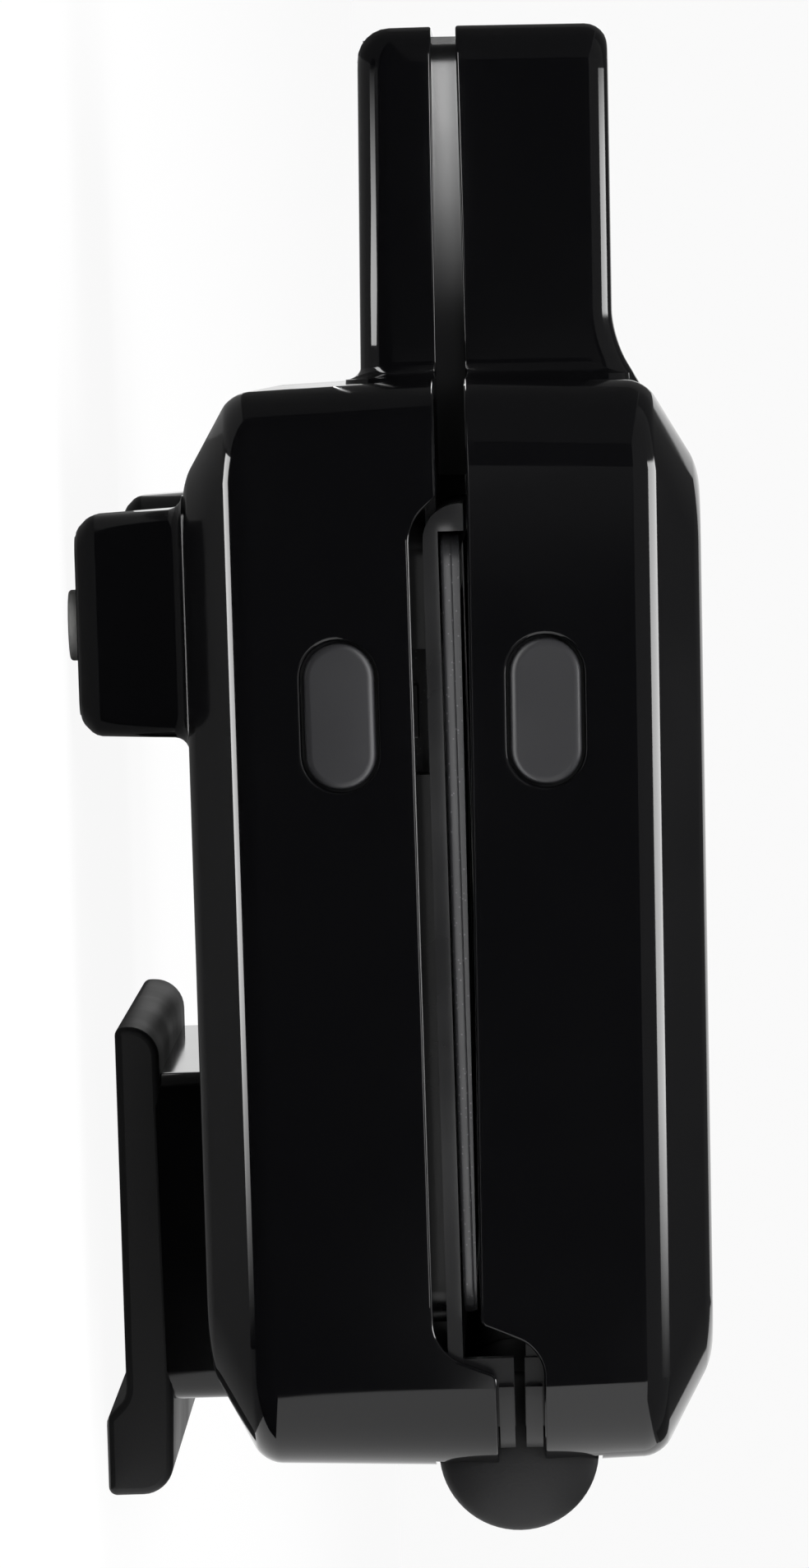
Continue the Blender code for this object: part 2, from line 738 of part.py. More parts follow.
def base_shell(half):
    """Makes the base shell with its feet and its half of the handle."""
    gap_z, under_z = BASE_RIM + SINK + HANDLE_TIP_RISE, BASE_RIM - HANDLE_BELOW
    shell = shared_shell(half, gap_z, under_z)
    join(shell, merged(foot(-1), foot(1)))
    hollow_shell(half, shell, gap_z, under_z)
    join(shell, latch_block(under_z + SINK, gap_z))
    cut(shell, latch_recess(under_z - PAST, gap_z + PAST), base_seam())
    bead_z = LID_RIM - LATCH_DROP + CATCH_BEAD_RISE
    bead_half = LATCH_WIDTH / 2 - SLIDE
    back = TIP_Y + LATCH_RECESS
    join(shell, box((-bead_half, back - CATCH_BEAD, bead_z), (bead_half, back + SINK, bead_z + BEAD_RISE)))
    holes = [cylinder((BUSHING_X, BLOCK_Y, BASE_PANEL), BUSHING_RADIUS + CLEAR, PAST, "Z")]
    for side in (-1, 1):
        pad = (side * FOOT_X, FOOT_Y, 0.0)
        holes.append(cylinder(pad, PAD_RADIUS + CLEAR, 2 * (PAD_PROUD + PAD_SEAT), "Z"))
    for x, y in wrap_screws():
        holes.append(cylinder((x, y, BASE_PANEL), SCREW_RADIUS + CLEAR, PAST, "Z", SCREW_STEPS))
    cut(shell, merged(*holes))


def lid_shell(half):
    """Makes the lid shell with its half of the handle and the flare between them."""
    gap_z, over_z = LID_RIM - SINK - HANDLE_TIP_DROP, LID_RIM + HANDLE_ABOVE
    shell = shared_shell(half, gap_z, over_z)
    flare = [
        (FRONT_Y - FLARE_REACH, over_z - SINK),
        (FRONT_Y - FLARE_REACH, over_z + HAIR),
        (FRONT_Y + SINK, over_z + FLARE_RISE),
        (FRONT_Y + HANDLE_ROOT, over_z + FLARE_RISE),
        (FRONT_Y + HANDLE_ROOT, over_z - SINK),
    ]
    flare_half = HANDLE_WIDTH / 2 - HANDLE_EDGE
    join(shell, prism(flare, "X", (-flare_half, flare_half)))
    hollow_shell(half, shell, gap_z, over_z)
    join(shell, latch_block(gap_z, over_z - SINK))
    cut(shell, latch_recess(gap_z - PAST, LATCH_Z + 2 * LATCH_BARREL), lid_seam())
    pin = cylinder((0.0, LATCH_Y, LATCH_Z), LATCH_PIN_RADIUS + PIN_PLAY, LATCH_WIDTH + 2 * SINK, "X", PIN_STEPS)
    lenses = (cylinder((x, y, LID_TOP), LENS_RADIUS + CLEAR, PAST, "Z") for x, y in lens_points())
    post_y = FRONT_Y + LENS_BACK + BOARD_SIZE[1] / 2 - WALL
    post = box((-WALL, post_y - WALL, LID_TOP - BOARD_DROP + CLEAR), (WALL, post_y, LID_TOP - SINK))
    join(shell, post)
    cut(shell, merged(pin, *lenses))


def frame_ring(half, obj):
    """Adds the skirt to a frame, opens it for the plate and bores it for the screws."""
    low, high = half.at(LIP_THICK / 2), half.at(SKIRT_DEPTH)
    low, high = sorted((low, high))
    corners = (-SKIRT_OUT, SKIRT_FRONT, low), (SKIRT_OUT, SKIRT_REAR, high)
    join(obj, rounded_box(*corners, PLATE_CORNER, steps=TRAY_STEPS))
    opening = PAN_HALF + PAN_GAP
    reach = half.at(-PAST), half.at(SKIRT_DEPTH + PAST)
    low, high = sorted(reach)
    front, rear = PAN_FRONT - PAN_GAP, PAN_REAR + PAN_GAP
    cut(obj, rounded_box((-opening, front, low), (opening, rear, high), PLATE_CORNER, steps=TRAY_STEPS))
    behind = half.at(LIP_THICK), half.at(SKIRT_DEPTH + PAST)
    low, high = sorted(behind)
    inside = (-SKIRT_IN, PAN_FRONT - SKIRT_GAP, low), (SKIRT_IN, PAN_REAR + SKIRT_GAP, high)
    cut(obj, rounded_box(*inside, PLATE_CORNER, steps=TRAY_STEPS))
    ends = HEATER_ENDS / 2 + HEATER_RADIUS + WALL
    cut(obj, half.box((-ends, ends), (PAN_REAR, SKIRT_REAR + PAST), (PAN_DEPTH - SLIDE, SKIRT_DEPTH + PAST)))
    cut(obj, screw_holes(half, SCREW_HEAD + CLEAR, (-PAST, SCREW_HEAD_HIGH + CLEAR)))
    cut(obj, screw_holes(half, SCREW_RADIUS + CLEAR, (0.0, SKIRT_DEPTH + PAST)))


def frame_catch_seat(half, obj):
    """Opens a frame for its plate catch, and adds the ears of the catch's pin and the fixed keeper opposite."""
    inner, outer = EAR_SPAN / 2, EAR_SPAN / 2 + EAR_WIDTH
    depths = (-PAST, SKIRT_DEPTH + PAST)
    cut(obj, half.box((PAN_HALF, SKIRT_OUT + SINK), (BUTTON_Y - inner, BUTTON_Y + inner), depths))
    for side in (-1, 1):
        y_span = sorted((BUTTON_Y + side * inner, BUTTON_Y + side * outer))
        x_span = (SKIRT_IN + SLIDE, SKIRT_OUT - SLIDE)
        join(obj, half.box(x_span, y_span, (LIP_THICK / 2, PIVOT_DEPTH + EAR_REACH)))
    pin = (CATCH_X, BUTTON_Y, half.at(PIVOT_DEPTH))
    cut(obj, cylinder(pin, PIN_RADIUS + PIN_PLAY, 2 * outer + PAST, "Y", PIN_STEPS))
    keeper = (NOSE_DEPTH - CATCH_NOSE_THICK / 2, NOSE_DEPTH + CATCH_NOSE_THICK / 2)
    x_span = (-SKIRT_IN - SINK, CATCH_NOSE - CATCH_X)
    y_span = (BUTTON_Y - CATCH_WIDTH / 2, BUTTON_Y + CATCH_WIDTH / 2)
    join(obj, half.box(x_span, y_span, keeper))


def collar(side, z_span):
    """Returns the strip that follows a rear corner of the shell from the inside."""
    centre_x = BODY_WIDTH / 2 - CORNER_RADIUS
    centre_y = REAR_Y - CORNER_RADIUS
    outer = LIP_HALF - FIT - centre_x
    inner = outer - COLLAR_WALL
    end_x = BARREL_HALF + CAP_DOME + SINK + FIT - centre_x
    path = [(centre_x + outer, LIP_REAR - WALL)]
    for radius, forward in ((outer, True), (inner, False)):
        sweep = math.acos(end_x / radius)
        angles = [sweep * i / ARC_STEPS for i in range(ARC_STEPS + 1)]
        angles = angles if forward else angles[::-1]
        path += [(centre_x + radius * math.cos(a), centre_y + radius * math.sin(a)) for a in angles]
    path.append((centre_x + inner, LIP_REAR - WALL))
    return prism([(side * x, y) for x, y in path], "Z", z_span)


def base_frame(half):
    """Makes the base frame: lip, front wall, deck, handle filler, rear corner strips and catch seat."""
    under = half.at(LIP_THICK)
    wall_top = BASE_RIM + FRONT_WALL_RISE
    wall_back = PLATE_FRONT - SLIDE
    lip = [
        (LIP_FRONT, wall_top),
        (LIP_FRONT, under, LIP_ROUND),
        (LIP_REAR, under),
        (LIP_REAR, BASE_RIM),
        (wall_back, BASE_RIM),
        (wall_back, wall_top),
    ]
    obj = add("base_frame", prism(lip, "X", (-LIP_HALF, LIP_HALF)), "satin_black")
    deck_rear = FRONT_Y + SIDE_START - DECK_STEP
    front = FRONT_Y + WALL + 2 * FIT
    corner = CORNER_RADIUS - LIP_INSET
    join(obj, half.box((-SKIRT_OUT, SKIRT_OUT), (front + corner, wall_back - SINK), (2 * HAIR, DECK_THICK)))
    join(obj, front_deck(front, deck_rear, corner, (BASE_RIM - DECK_THICK - HAIR, BASE_RIM - HAIR)))
    filler_rear = FRONT_Y + FILLER_END
    top = BASE_RIM + FILLER_RISE
    low = BASE_RIM - LIP_THICK
    join(obj, handle_filler(low, BASE_RIM - HAIR, FRONT_Y + PAST))
    join(obj, handle_filler(BASE_RIM - SINK, top, filler_rear))
    notch = LATCH_WIDTH / 2 + WALL + FIT
    cut(obj, box((-notch, TIP_Y, low - PAST), (notch, TIP_Y + LATCH_BLOCK + FIT, top + PAST)))
    for side in (-1, 1):
        join(obj, collar(side, (half.at(LIP_THICK - HAIR), BASE_RIM + COLLAR_RISE)))
    frame_ring(half, obj)
    frame_catch_seat(half, obj)


def front_deck(front, rear, corner, z_span):
    """Returns the deck of a frame, which follows the shell's front wall."""
    points = [(-LIP_HALF, front, corner), (LIP_HALF, front, corner), (LIP_HALF, rear), (-LIP_HALF, rear)]
    return prism(points, "Z", z_span)


def handle_filler(low, high, rear):
    """Returns a slab that fills the handle between its side walls."""
    corner = HANDLE_CORNER - WALL - FIT
    half = TONGUE_HALF
    points = [(-half, TONGUE_FRONT, corner), (half, TONGUE_FRONT, corner), (half, rear), (-half, rear)]
    return prism(points, "Z", (low, high))


def lid_frame(half):
    """Makes the lid frame: deck, handle cover, rear corner strips and catch seat."""
    low, high = sorted((half.ring, half.at(LIP_THICK)))
    front = FRONT_Y + WALL + 2 * FIT
    corner = CORNER_RADIUS - LIP_INSET
    deck = front_deck(front, SKIRT_REAR, corner, (low, high))
    obj = add("lid_frame", deck, "satin_black", half.pivot)
    join(obj, handle_filler(low + HAIR, high - HAIR, FRONT_Y + PAST))
    notch = LATCH_WIDTH / 2 + WALL + FIT
    cut(obj, box((-notch, TIP_Y, low - PAST), (notch, TIP_Y + LATCH_BLOCK + FIT, high + PAST)))
    collar_low = LID_REAR_RIM - COLLAR_DROP
    frame_ring(half, obj)
    frame_catch_seat(half, obj)
    for side in (-1, 1):
        web = sorted((side * (SKIRT_IN + SLIDE), side * (LIP_HALF - COLLAR_WALL / 2)))
        low_corner = (web[0], SKIRT_REAR - SKIRT_WALL, collar_low + 2 * HAIR)
        high_corner = (web[1], LIP_REAR - SINK, half.at(SKIRT_DEPTH) - 2 * HAIR)
        join(obj, box(low_corner, high_corner))
        join(obj, collar(side, (collar_low, collar_low + COLLAR_HEIGHT)))


def pockets(half):
    """Returns the four three-cornered pockets that a plate's two sandwiches lie in."""
    low_y, high_y = PAN_FRONT + POCKET_WALL, PAN_REAR - POCKET_WALL
    near, far = POCKET_RIDGE, PAN_HALF - POCKET_WALL
    gap = POCKET_RIDGE
    face = half.at(-CLEAR - PLATE_FLANGE)
    floor = half.at(POCKET_DEPTH)
    z_span = sorted((floor, face - half.inward * SINK))
    cutters = []
    for side in (-1, 1):
        corners = (
            [(near, low_y), (far - 2 * gap, low_y), (near, high_y - 2 * gap)],
            [(far, high_y), (far, low_y + 2 * gap), (near + 2 * gap, high_y)],
        )
        for triangle in corners:
            bm = prism([(side * x, y, POCKET_ROUND) for x, y in triangle], "Z", z_span)
            middle = Vector((side * sum(x for x, _ in triangle) / 3, sum(y for _, y in triangle) / 3, 0.0))
            centre = Matrix.Translation(middle)
            scale = Matrix.Diagonal((POCKET_TAPER, POCKET_TAPER, 1.0, 1.0))
            verts = [v for v in bm.verts if abs(v.co.z - floor) < TOUCH]
            bmesh.ops.transform(bm, matrix=centre @ scale @ centre.inverted(), verts=verts)
            cutters.append(bm)
    return merged(*cutters)


def plate(half):
    """Makes a lift-out plate: flange, pan, pockets and the ledges that it is held by."""
    low, high = sorted((half.at(-CLEAR), half.at(-CLEAR - PLATE_FLANGE)))
    corners = (-PLATE_WIDTH / 2, PLATE_FRONT, low), (PLATE_WIDTH / 2, PLATE_REAR, high)
    flange = rounded_box(*corners, PLATE_CORNER, steps=ARC_STEPS)
    obj = add(f"{half.name}_plate", flange, "plate_coating", half.pivot)
    low, high = sorted((half.at(PAN_DEPTH), half.at(-CLEAR - PLATE_FLANGE / 2)))
    corners = (-PAN_HALF, PAN_FRONT, low), (PAN_HALF, PAN_REAR, high)
    join(obj, rounded_box(*corners, PLATE_CORNER, steps=TRAY_STEPS))
    start = NOSE_DEPTH + CATCH_NOSE_THICK / 2 + CLEAR
    y_span = (BUTTON_Y - CATCH_WIDTH, BUTTON_Y + CATCH_WIDTH)
    for side in (-1, 1):
        x_span = sorted((side * (PAN_HALF - SINK), side * (PAN_HALF + LEDGE_REACH)))
        join(obj, half.box(x_span, y_span, (start, start + LEDGE_THICK)))
    cut(obj, pockets(half))


def heater(half):
    """Makes a tubular heating element that loops under its plate, with both ends at the rear."""
    side = PAN_HALF - HEATER_INSET
    front, rear = PAN_FRONT + HEATER_INSET, PAN_REAR - HEATER_INSET
    ends = HEATER_ENDS / 2
    left = [
        (-ends, SKIRT_REAR),
        (-ends, rear, HEATER_BEND),
        (-side, rear, HEATER_BEND),
        (-side, front, HEATER_BEND),
    ]
    route = left + [(-point[0], *point[1:]) for point in reversed(left)]
    points = [(x, y, half.at(HEATER_DEPTH)) for x, y in rounded(route, closed=False)]
    tube(f"{half.name}_heater", points, HEATER_RADIUS, "heater_steel", half.pivot)


def reflector(half):
    """Makes the reflector tray under a heating element, open at the rear for the element's ends."""
    low, high = sorted((half.at(FLANGE_DEPTH), half.at(FLANGE_DEPTH + SHEET)))
    corners = (-SKIRT_OUT, SKIRT_FRONT, low), (SKIRT_OUT, SKIRT_REAR, high)
    flange = rounded_box(*corners, PLATE_CORNER, steps=TRAY_STEPS)
    obj = add(f"{half.name}_reflector", flange, "bright_sheet", half.pivot)
    tray = PAN_HALF - TRAY_INSET
    front, rear = PAN_FRONT + TRAY_INSET, PAN_REAR - TRAY_INSET
    low, high = sorted((half.at(FLANGE_DEPTH + SHEET / 2), half.at(TRAY_DEPTH)))
    join(obj, rounded_box((-tray, front, low), (tray, rear, high), PLATE_CORNER, steps=TRAY_STEPS))
    low, high = sorted((half.at(FLANGE_DEPTH - PAST), half.at(TRAY_DEPTH - SHEET)))
    corners = (SHEET - tray, front + SHEET, low), (tray - SHEET, rear - SHEET, high)
    cut(obj, rounded_box(*corners, PLATE_CORNER - SHEET, steps=TRAY_STEPS))
    ends = HEATER_ENDS / 2 + HEATER_RADIUS + WALL
    window = TRAY_DEPTH - 3 * SHEET / 4
    cut(obj, half.box((-ends, ends), (rear - WALL, SKIRT_REAR + PAST), (FLANGE_DEPTH - PAST, window)))
    cut(obj, screw_holes(half, SCREW_RADIUS + CLEAR, (FLANGE_DEPTH - SINK, FLANGE_DEPTH + SHEET + SINK)))
    reach = EAR_SPAN / 2 + EAR_WIDTH + SINK
    y_span = (BUTTON_Y - reach, BUTTON_Y + reach)
    cut(obj, half.box((PAN_HALF, SKIRT_OUT + PAST), y_span, (FLANGE_DEPTH - SINK, FLANGE_DEPTH + SHEET + SINK)))


def button(half):
    """Makes a release button: an oval cap, a lip behind the wall and a pusher that works the catch."""
    wall = half.wall_x(half.button_z)
    face = wall + BUTTON_PROUD
    lip_edge = half.button_z + half.inward * (BUTTON_HEIGHT / 2 + BUTTON_LIP)
    lip_face = half.wall_x(lip_edge) - WALL - SLIDE
    lip_back = lip_face - BUTTON_LIP_THICK
    cap = oval(BUTTON_Y, half.button_z, BUTTON_LENGTH, BUTTON_HEIGHT, (lip_back + SINK / 2, face))
    cap.normal_update()
    front = [e for e in cap.edges if all(abs(v.co.x - face) < TOUCH for v in e.verts)]
    front = [e for e in front if e.calc_face_angle() > SHARP]
    bevel(cap, front, SINK, 1)
    origin = (face, BUTTON_Y, half.button_z)
    obj = add(f"{half.name}_button", cap, "button_grey", half.pivot, origin)
    lip = 2 * BUTTON_LIP
    join(obj, oval(BUTTON_Y, half.button_z, BUTTON_LENGTH + lip, BUTTON_HEIGHT + lip, (lip_back, lip_face)))
    tip = CATCH_X + CATCH_OUTER + CLEAR
    z = half.at(PUSH_DEPTH)
    radius = PUSHER_RADIUS
    pusher = [
        (tip, z - radius, radius - HAIR / 2),
        (tip, z + radius, radius - HAIR / 2),
        (lip_back + SINK, z + radius),
        (lip_back + SINK, z - radius),
    ]
    join(obj, prism(pusher, "Y", (BUTTON_Y - PUSHER_LENGTH / 2, BUTTON_Y + PUSHER_LENGTH / 2)))


def catch(half):
    """Makes a plate catch, its pin and the coil spring round the pin."""
    pivot = (CATCH_X, BUTTON_Y, half.at(PIVOT_DEPTH))
    out, back = CATCH_X + CATCH_OUTER, CATCH_X - CATCH_INNER
    nose_x = CATCH_X - CATCH_NOSE
    top = NOSE_DEPTH - CATCH_NOSE_THICK / 2
    under = NOSE_DEPTH + CATCH_NOSE_THICK / 2
    tail = PIVOT_DEPTH + CATCH_TAIL
    path = [(out, tail), (out, top), (nose_x, top), (nose_x, under), (back, under), (back, tail)]
    y_span = (BUTTON_Y - CATCH_WIDTH / 2, BUTTON_Y + CATCH_WIDTH / 2)
    lever = prism([(x, half.at(depth)) for x, depth in path], "Y", y_span)
    obj = add(f"{half.name}_catch", lever, "satin_black", half.pivot, pivot)
    cut(obj, cylinder(pivot, PIN_RADIUS + PIN_PLAY, CATCH_WIDTH + PAST, "Y", PIN_STEPS))
    pin_length = EAR_SPAN + 2 * EAR_WIDTH - SINK
    pin = cylinder(pivot, PIN_RADIUS, pin_length, "Y", PIN_STEPS)
    add(f"{half.name}_catch_pin", pin, "pin_steel", half.pivot, pivot)
    start = BUTTON_Y + CATCH_WIDTH / 2 + SINK
    points = []
    for i in range(SPRING_TURNS * COIL_STEPS + 1):
        angle = math.tau * i / COIL_STEPS
        x = pivot[0] + SPRING_RADIUS * math.cos(angle)
        z = pivot[2] + SPRING_RADIUS * math.sin(angle)
        points.append((x, start + SPRING_PITCH * i / COIL_STEPS, z))
    tube(f"{half.name}_catch_spring", points, SPRING_WIRE, "pin_steel", half.pivot, sides=1)


def frame_screws(half, prefix):
    """Makes the screws that hold a frame to its shell."""
    length = FLANGE_DEPTH + SHEET + SCREW_BITE - SCREW_HEAD_HIGH - SINK
    for number, (x, y) in enumerate(screw_points(), 1):
        screw(f"{prefix}_screw_{number}", (x, y, half.at(SCREW_HEAD_HIGH)), half.inward, length, half.pivot)


def knuckle(name, x_span, half):
    """Makes one knuckle of the hinge with the leaf that holds it inside its shell."""
    middle = (sum(x_span) / 2, HINGE_Y, HINGE_Z)
    barrel = cylinder(middle, HINGE_RADIUS, x_span[1] - x_span[0], "X", ROUND_STEPS)
    origin = (0.0, HINGE_Y, HINGE_Z)
    obj = add(name, barrel, "matte_black", half.pivot, origin)
    leaf_end = HINGE_Z + half.inward * (HINGE_RADIUS + LEAF_LENGTH)
    low, high = sorted((HINGE_Z + half.inward * (HINGE_RADIUS - WALL), leaf_end))
    rear = REAR_Y - WALL - SLIDE - math.tan(DRAFT) * abs(leaf_end - half.rim)
    corners = (x_span[0] + LEAF_INSET, rear - LEAF_THICK, low), (x_span[1] - LEAF_INSET, rear, high)
    join(obj, box(*corners))
    cut(obj, cylinder(middle, ROD_RADIUS + CLEAR, BODY_WIDTH, "X", BORE_STEPS))


def hinge(lower, upper):
    """Makes the hinge: rod, knuckles and domed end caps."""
    split = LID_KNUCKLE_LENGTH / 2
    knuckle("hinge_knuckle_left", (-BARREL_HALF, -split - CLEAR), lower)
    knuckle("hinge_knuckle_right", (split + CLEAR, BARREL_HALF), lower)
    knuckle("lid_knuckle", (-split, split), upper)
    rod = cylinder((0.0, HINGE_Y, HINGE_Z), ROD_RADIUS, 2 * BARREL_HALF - SINK, "X", BORE_STEPS)
    add("hinge_rod", rod, "pin_steel")
    dome = [(0.0, CAP_DOME)]
    for i in range(1, ARC_STEPS + 1):
        angle = math.pi / 2 * i / ARC_STEPS
        dome.append((HINGE_RADIUS * math.sin(angle), CAP_DOME * math.cos(angle) + CLEAR))
    dome.append((0.0, CLEAR))
    for name, side in (("left", -1), ("right", 1)):
        turn = Matrix.Rotation(side * math.pi / 2, 4, "Y")
        matrix = Matrix.Translation((side * BARREL_HALF, HINGE_Y, HINGE_Z)) @ turn
        turned(f"hinge_cap_{name}", dome, matrix, "matte_black")


def latch(upper):
    """Makes the latch clip on the lid's handle tip, and its pin."""
    front = TIP_Y + LATCH_INSET
    back = front + LATCH_THICK
    low = LID_RIM - LATCH_DROP
    half = LATCH_WIDTH / 2
    origin = (0.0, LATCH_Y, LATCH_Z)
    clip = box((-half, front, low), (half, back, LATCH_Z))
    obj = add("latch_clip", clip, "satin_black", upper.pivot, origin)
    join(obj, cylinder(origin, LATCH_BARREL, LATCH_WIDTH - 2 * HAIR, "X", BORE_STEPS))
    bead = half - SINK
    join(obj, box((-bead, back - SINK, low + BEAD_RISE), (bead, back + LATCH_BEAD, low + 2 * BEAD_RISE)))
    cut(obj, cylinder(origin, LATCH_PIN_RADIUS + PIN_PLAY, LATCH_WIDTH + PAST, "X", PIN_STEPS))
    pin = cylinder(origin, LATCH_PIN_RADIUS, LATCH_WIDTH + SINK, "X", PIN_STEPS)
    add("latch_pin", pin, "pin_steel", upper.pivot, origin)


def wrap_screws():
    """Returns where the cord wrap's screws stand."""
    y = REAR_Y - (WRAP_STEM_FRONT + WRAP_STEM_REAR) / 2
    return [(side * WRAP_SCREW_SPACING / 2, y) for side in (-1, 1)]


def cord_wrap():
    """Makes the cord wrap with the rear foot, and its two screws."""
    stem_rear = REAR_Y - WRAP_STEM_REAR
    rear = REAR_Y + WRAP_REACH
    foot_front = rear - WRAP_FOOT_LENGTH
    slope = CHAMFER_RISE / CHAMFER_RUN
    taper = math.tan(DRAFT) * (BASE_HEIGHT + REAR_RISE - CHAMFER_RISE)
    panel_rear = REAR_Y - taper - CHAMFER_RUN
    top = BASE_PANEL - CLEAR
    path = [
        (REAR_Y - WRAP_FRONT, WRAP_FLANGE_LOW),
        (foot_front - WRAP_FLANGE_LOW, WRAP_FLANGE_LOW),
        (foot_front, 0.0),
        (rear, 0.0, SEAM_SOFT),
        (rear, WRAP_FLANGE_HIGH, WRAP_ROUND),
        (stem_rear, WRAP_FOOT_HIGH),
        (stem_rear, top - CLEAR + slope * (stem_rear - panel_rear)),
        (panel_rear, top - CLEAR),
        (REAR_Y - WRAP_STEM_FRONT, top),
        (REAR_Y - WRAP_STEM_FRONT, WRAP_FLANGE_HIGH),
        (REAR_Y - WRAP_FRONT, WRAP_FLANGE_HIGH, WRAP_ROUND),
    ]
    obj = add("cord_wrap", prism(path, "X", (-WRAP_WIDTH / 2, WRAP_WIDTH / 2)), "matte_black")
    seat = WRAP_FLANGE_LOW + 2 * SCREW_HEAD_HIGH
    heads = (cylinder((x, y, 0.0), SCREW_HEAD + CLEAR, 2 * seat, "Z", BORE_STEPS) for x, y in wrap_screws())
    cut(obj, merged(*heads))
    through = 2 * (top - seat) + SINK
    shanks = (cylinder((x, y, top), SCREW_RADIUS + CLEAR, through, "Z", SCREW_STEPS) for x, y in wrap_screws())
    cut(obj, merged(*shanks))
    for name, (x, y) in zip(("left", "right"), wrap_screws()):
        screw(f"cord_wrap_screw_{name}", (x, y, seat - CLEAR), 1, top + WALL - seat, None)


def foot_pads():
    """Makes the rubber pads that the front feet stand on."""
    top = PAD_PROUD + PAD_SEAT - CLEAR
    profile = [(0.0, top), (PAD_RADIUS, top), (PAD_RADIUS, PAD_EDGE), (PAD_RADIUS - PAD_EDGE, 0.0), (0.0, 0.0)]
    for name, side in (("left", -1), ("right", 1)):
        matrix = Matrix.Translation((side * FOOT_X, FOOT_Y, 0.0))
        turned(f"foot_pad_{name}", profile, matrix, "foot_rubber")


def electrics(lower):
    """Makes the thermostat, fuse, terminal block, cord bushing and leads of the base."""
    under = lower.at(TRAY_DEPTH + CLEAR)
    middle = (0.0, MID_Y, under - THERMOSTAT_HIGH / 2)
    add("thermostat", cylinder(middle, THERMOSTAT_RADIUS, THERMOSTAT_HIGH, "Z", BORE_STEPS), "ceramic")
    fuse_y = MID_Y - THERMOSTAT_RADIUS - FUSE_GAP
    fuse = cylinder((0.0, fuse_y, under - FUSE_RADIUS), FUSE_RADIUS, FUSE_LENGTH, "X", PIN_STEPS)
    add("thermal_fuse", fuse, "ceramic")
    floor = BASE_PANEL + WALL + CLEAR
    size = Vector(BLOCK_SIZE)
    low = Vector((BLOCK_X - size.x / 2, BLOCK_Y - size.y / 2, floor))
    add("terminal_block", box(low, low + size), "ceramic")
    flange = BUSHING_RADIUS + BUSHING_FLANGE
    profile = [
        (BUSHING_BORE, WALL + SINK),
        (BUSHING_RADIUS, WALL + SINK),
        (BUSHING_RADIUS, -CLEAR),
        (flange, -CLEAR),
        (flange, -WALL),
        (BUSHING_BORE, -WALL),
        (BUSHING_BORE, WALL + SINK),
    ]
    turned("cord_bushing", profile, Matrix.Translation((BUSHING_X, BLOCK_Y, BASE_PANEL)), "satin_black")
    heater_end = Vector((-HEATER_ENDS / 2, SKIRT_REAR + SLIDE, lower.at(HEATER_DEPTH)))
    block_rear = low + Vector((size.x / 2, size.y + SLIDE, size.z / 2))
    route = [
        block_rear,
        block_rear + Vector((0.0, 0.006, 0.0)),
        block_rear + Vector((0.012, 0.022, 0.002)),
        heater_end + Vector((-0.006, 0.004, -0.012)),
        heater_end + Vector((0.0, 0.006, -0.002)),
        heater_end,
    ]
    tube("base_leads", smooth_route(route), LEAD_RADIUS, "lead_sleeve")


def lens_points():
    """Returns where the lamp lenses stand."""
    return [(side * LENS_SPACING / 2, FRONT_Y + LENS_BACK) for side in (-1, 1)]


def lamps(upper):
    """Makes the lamp lenses in the lid, the board under them and the lead to the heating element."""
    board_top = LID_TOP - BOARD_DROP
    profile = [
        (0.0, LENS_PROUD),
        (LENS_RADIUS - LENS_PROUD, LENS_PROUD),
        (LENS_RADIUS, 0.0),
        (LENS_RADIUS, CLEAR - BOARD_DROP),
        (0.0, CLEAR - BOARD_DROP),
    ]
    names = (("power_lamp", "red_lens"), ("ready_lamp", "green_lens"))
    for (name, colour), (x, y) in zip(names, lens_points()):
        turned(name, profile, Matrix.Translation((x, y, LID_TOP)), colour, upper.pivot, BORE_STEPS)
    y = FRONT_Y + LENS_BACK
    half_x, half_y = BOARD_SIZE[0] / 2, BOARD_SIZE[1] / 2
    board = box((-half_x, y - half_y, board_top - BOARD_THICK), (half_x, y + half_y, board_top))
    add("lamp_board", board, "board", upper.pivot)
    heater_end = Vector((-HEATER_ENDS / 2, SKIRT_REAR + SLIDE, upper.at(HEATER_DEPTH)))
    board_end = Vector((heater_end.x, y + half_y + SLIDE, board_top - BOARD_THICK / 2))
    over = Vector((heater_end.x, heater_end.y, board_end.z))
    route = [
        heater_end,
        heater_end + Vector((0.0, 0.004, 0.001)),
        heater_end.lerp(over, 0.7),
        over.lerp(board_end, 0.25),
        over.lerp(board_end, 0.7),
        board_end,
    ]
    tube("lid_leads", smooth_route(route), LEAD_RADIUS, "lead_sleeve", upper.pivot)


def half_inside(half, prefix):
    """Makes what both halves hold."""
    plate(half)
    heater(half)
    reflector(half)
    button(half)
    catch(half)
    frame_screws(half, prefix)


def main():
    """Builds the toaster."""
    lid_pivot = bpy.data.objects.new("lid_pivot", None)
    lid_pivot.location = (0.0, HINGE_Y, HINGE_Z)
    PARTS.objects.link(lid_pivot)
    lower = Half("lower", "base_shell", BASE_RIM, -1, REAR_RIM, BASE_PANEL, BASE_RIM - BUTTON_DROP, None)
    ring = LID_RIM + PLATE_FLANGE + CLEAR
    upper = Half("upper", "lid_shell", ring, 1, LID_RIM, LID_TOP, LID_RIM + BUTTON_LIFT, lid_pivot)
    base_shell(lower)
    base_frame(lower)
    half_inside(lower, "base")
    electrics(lower)
    cord_wrap()
    foot_pads()
    lid_shell(upper)
    lid_frame(upper)
    half_inside(upper, "lid")
    lamps(upper)
    hinge(lower, upper)
    latch(upper)
    lid_pivot.rotation_euler.x = -LID_AJAR


clear_scene()
PARTS = new_collection("sandwich_toaster")
CUTTERS = new_collection("cutters")
main()
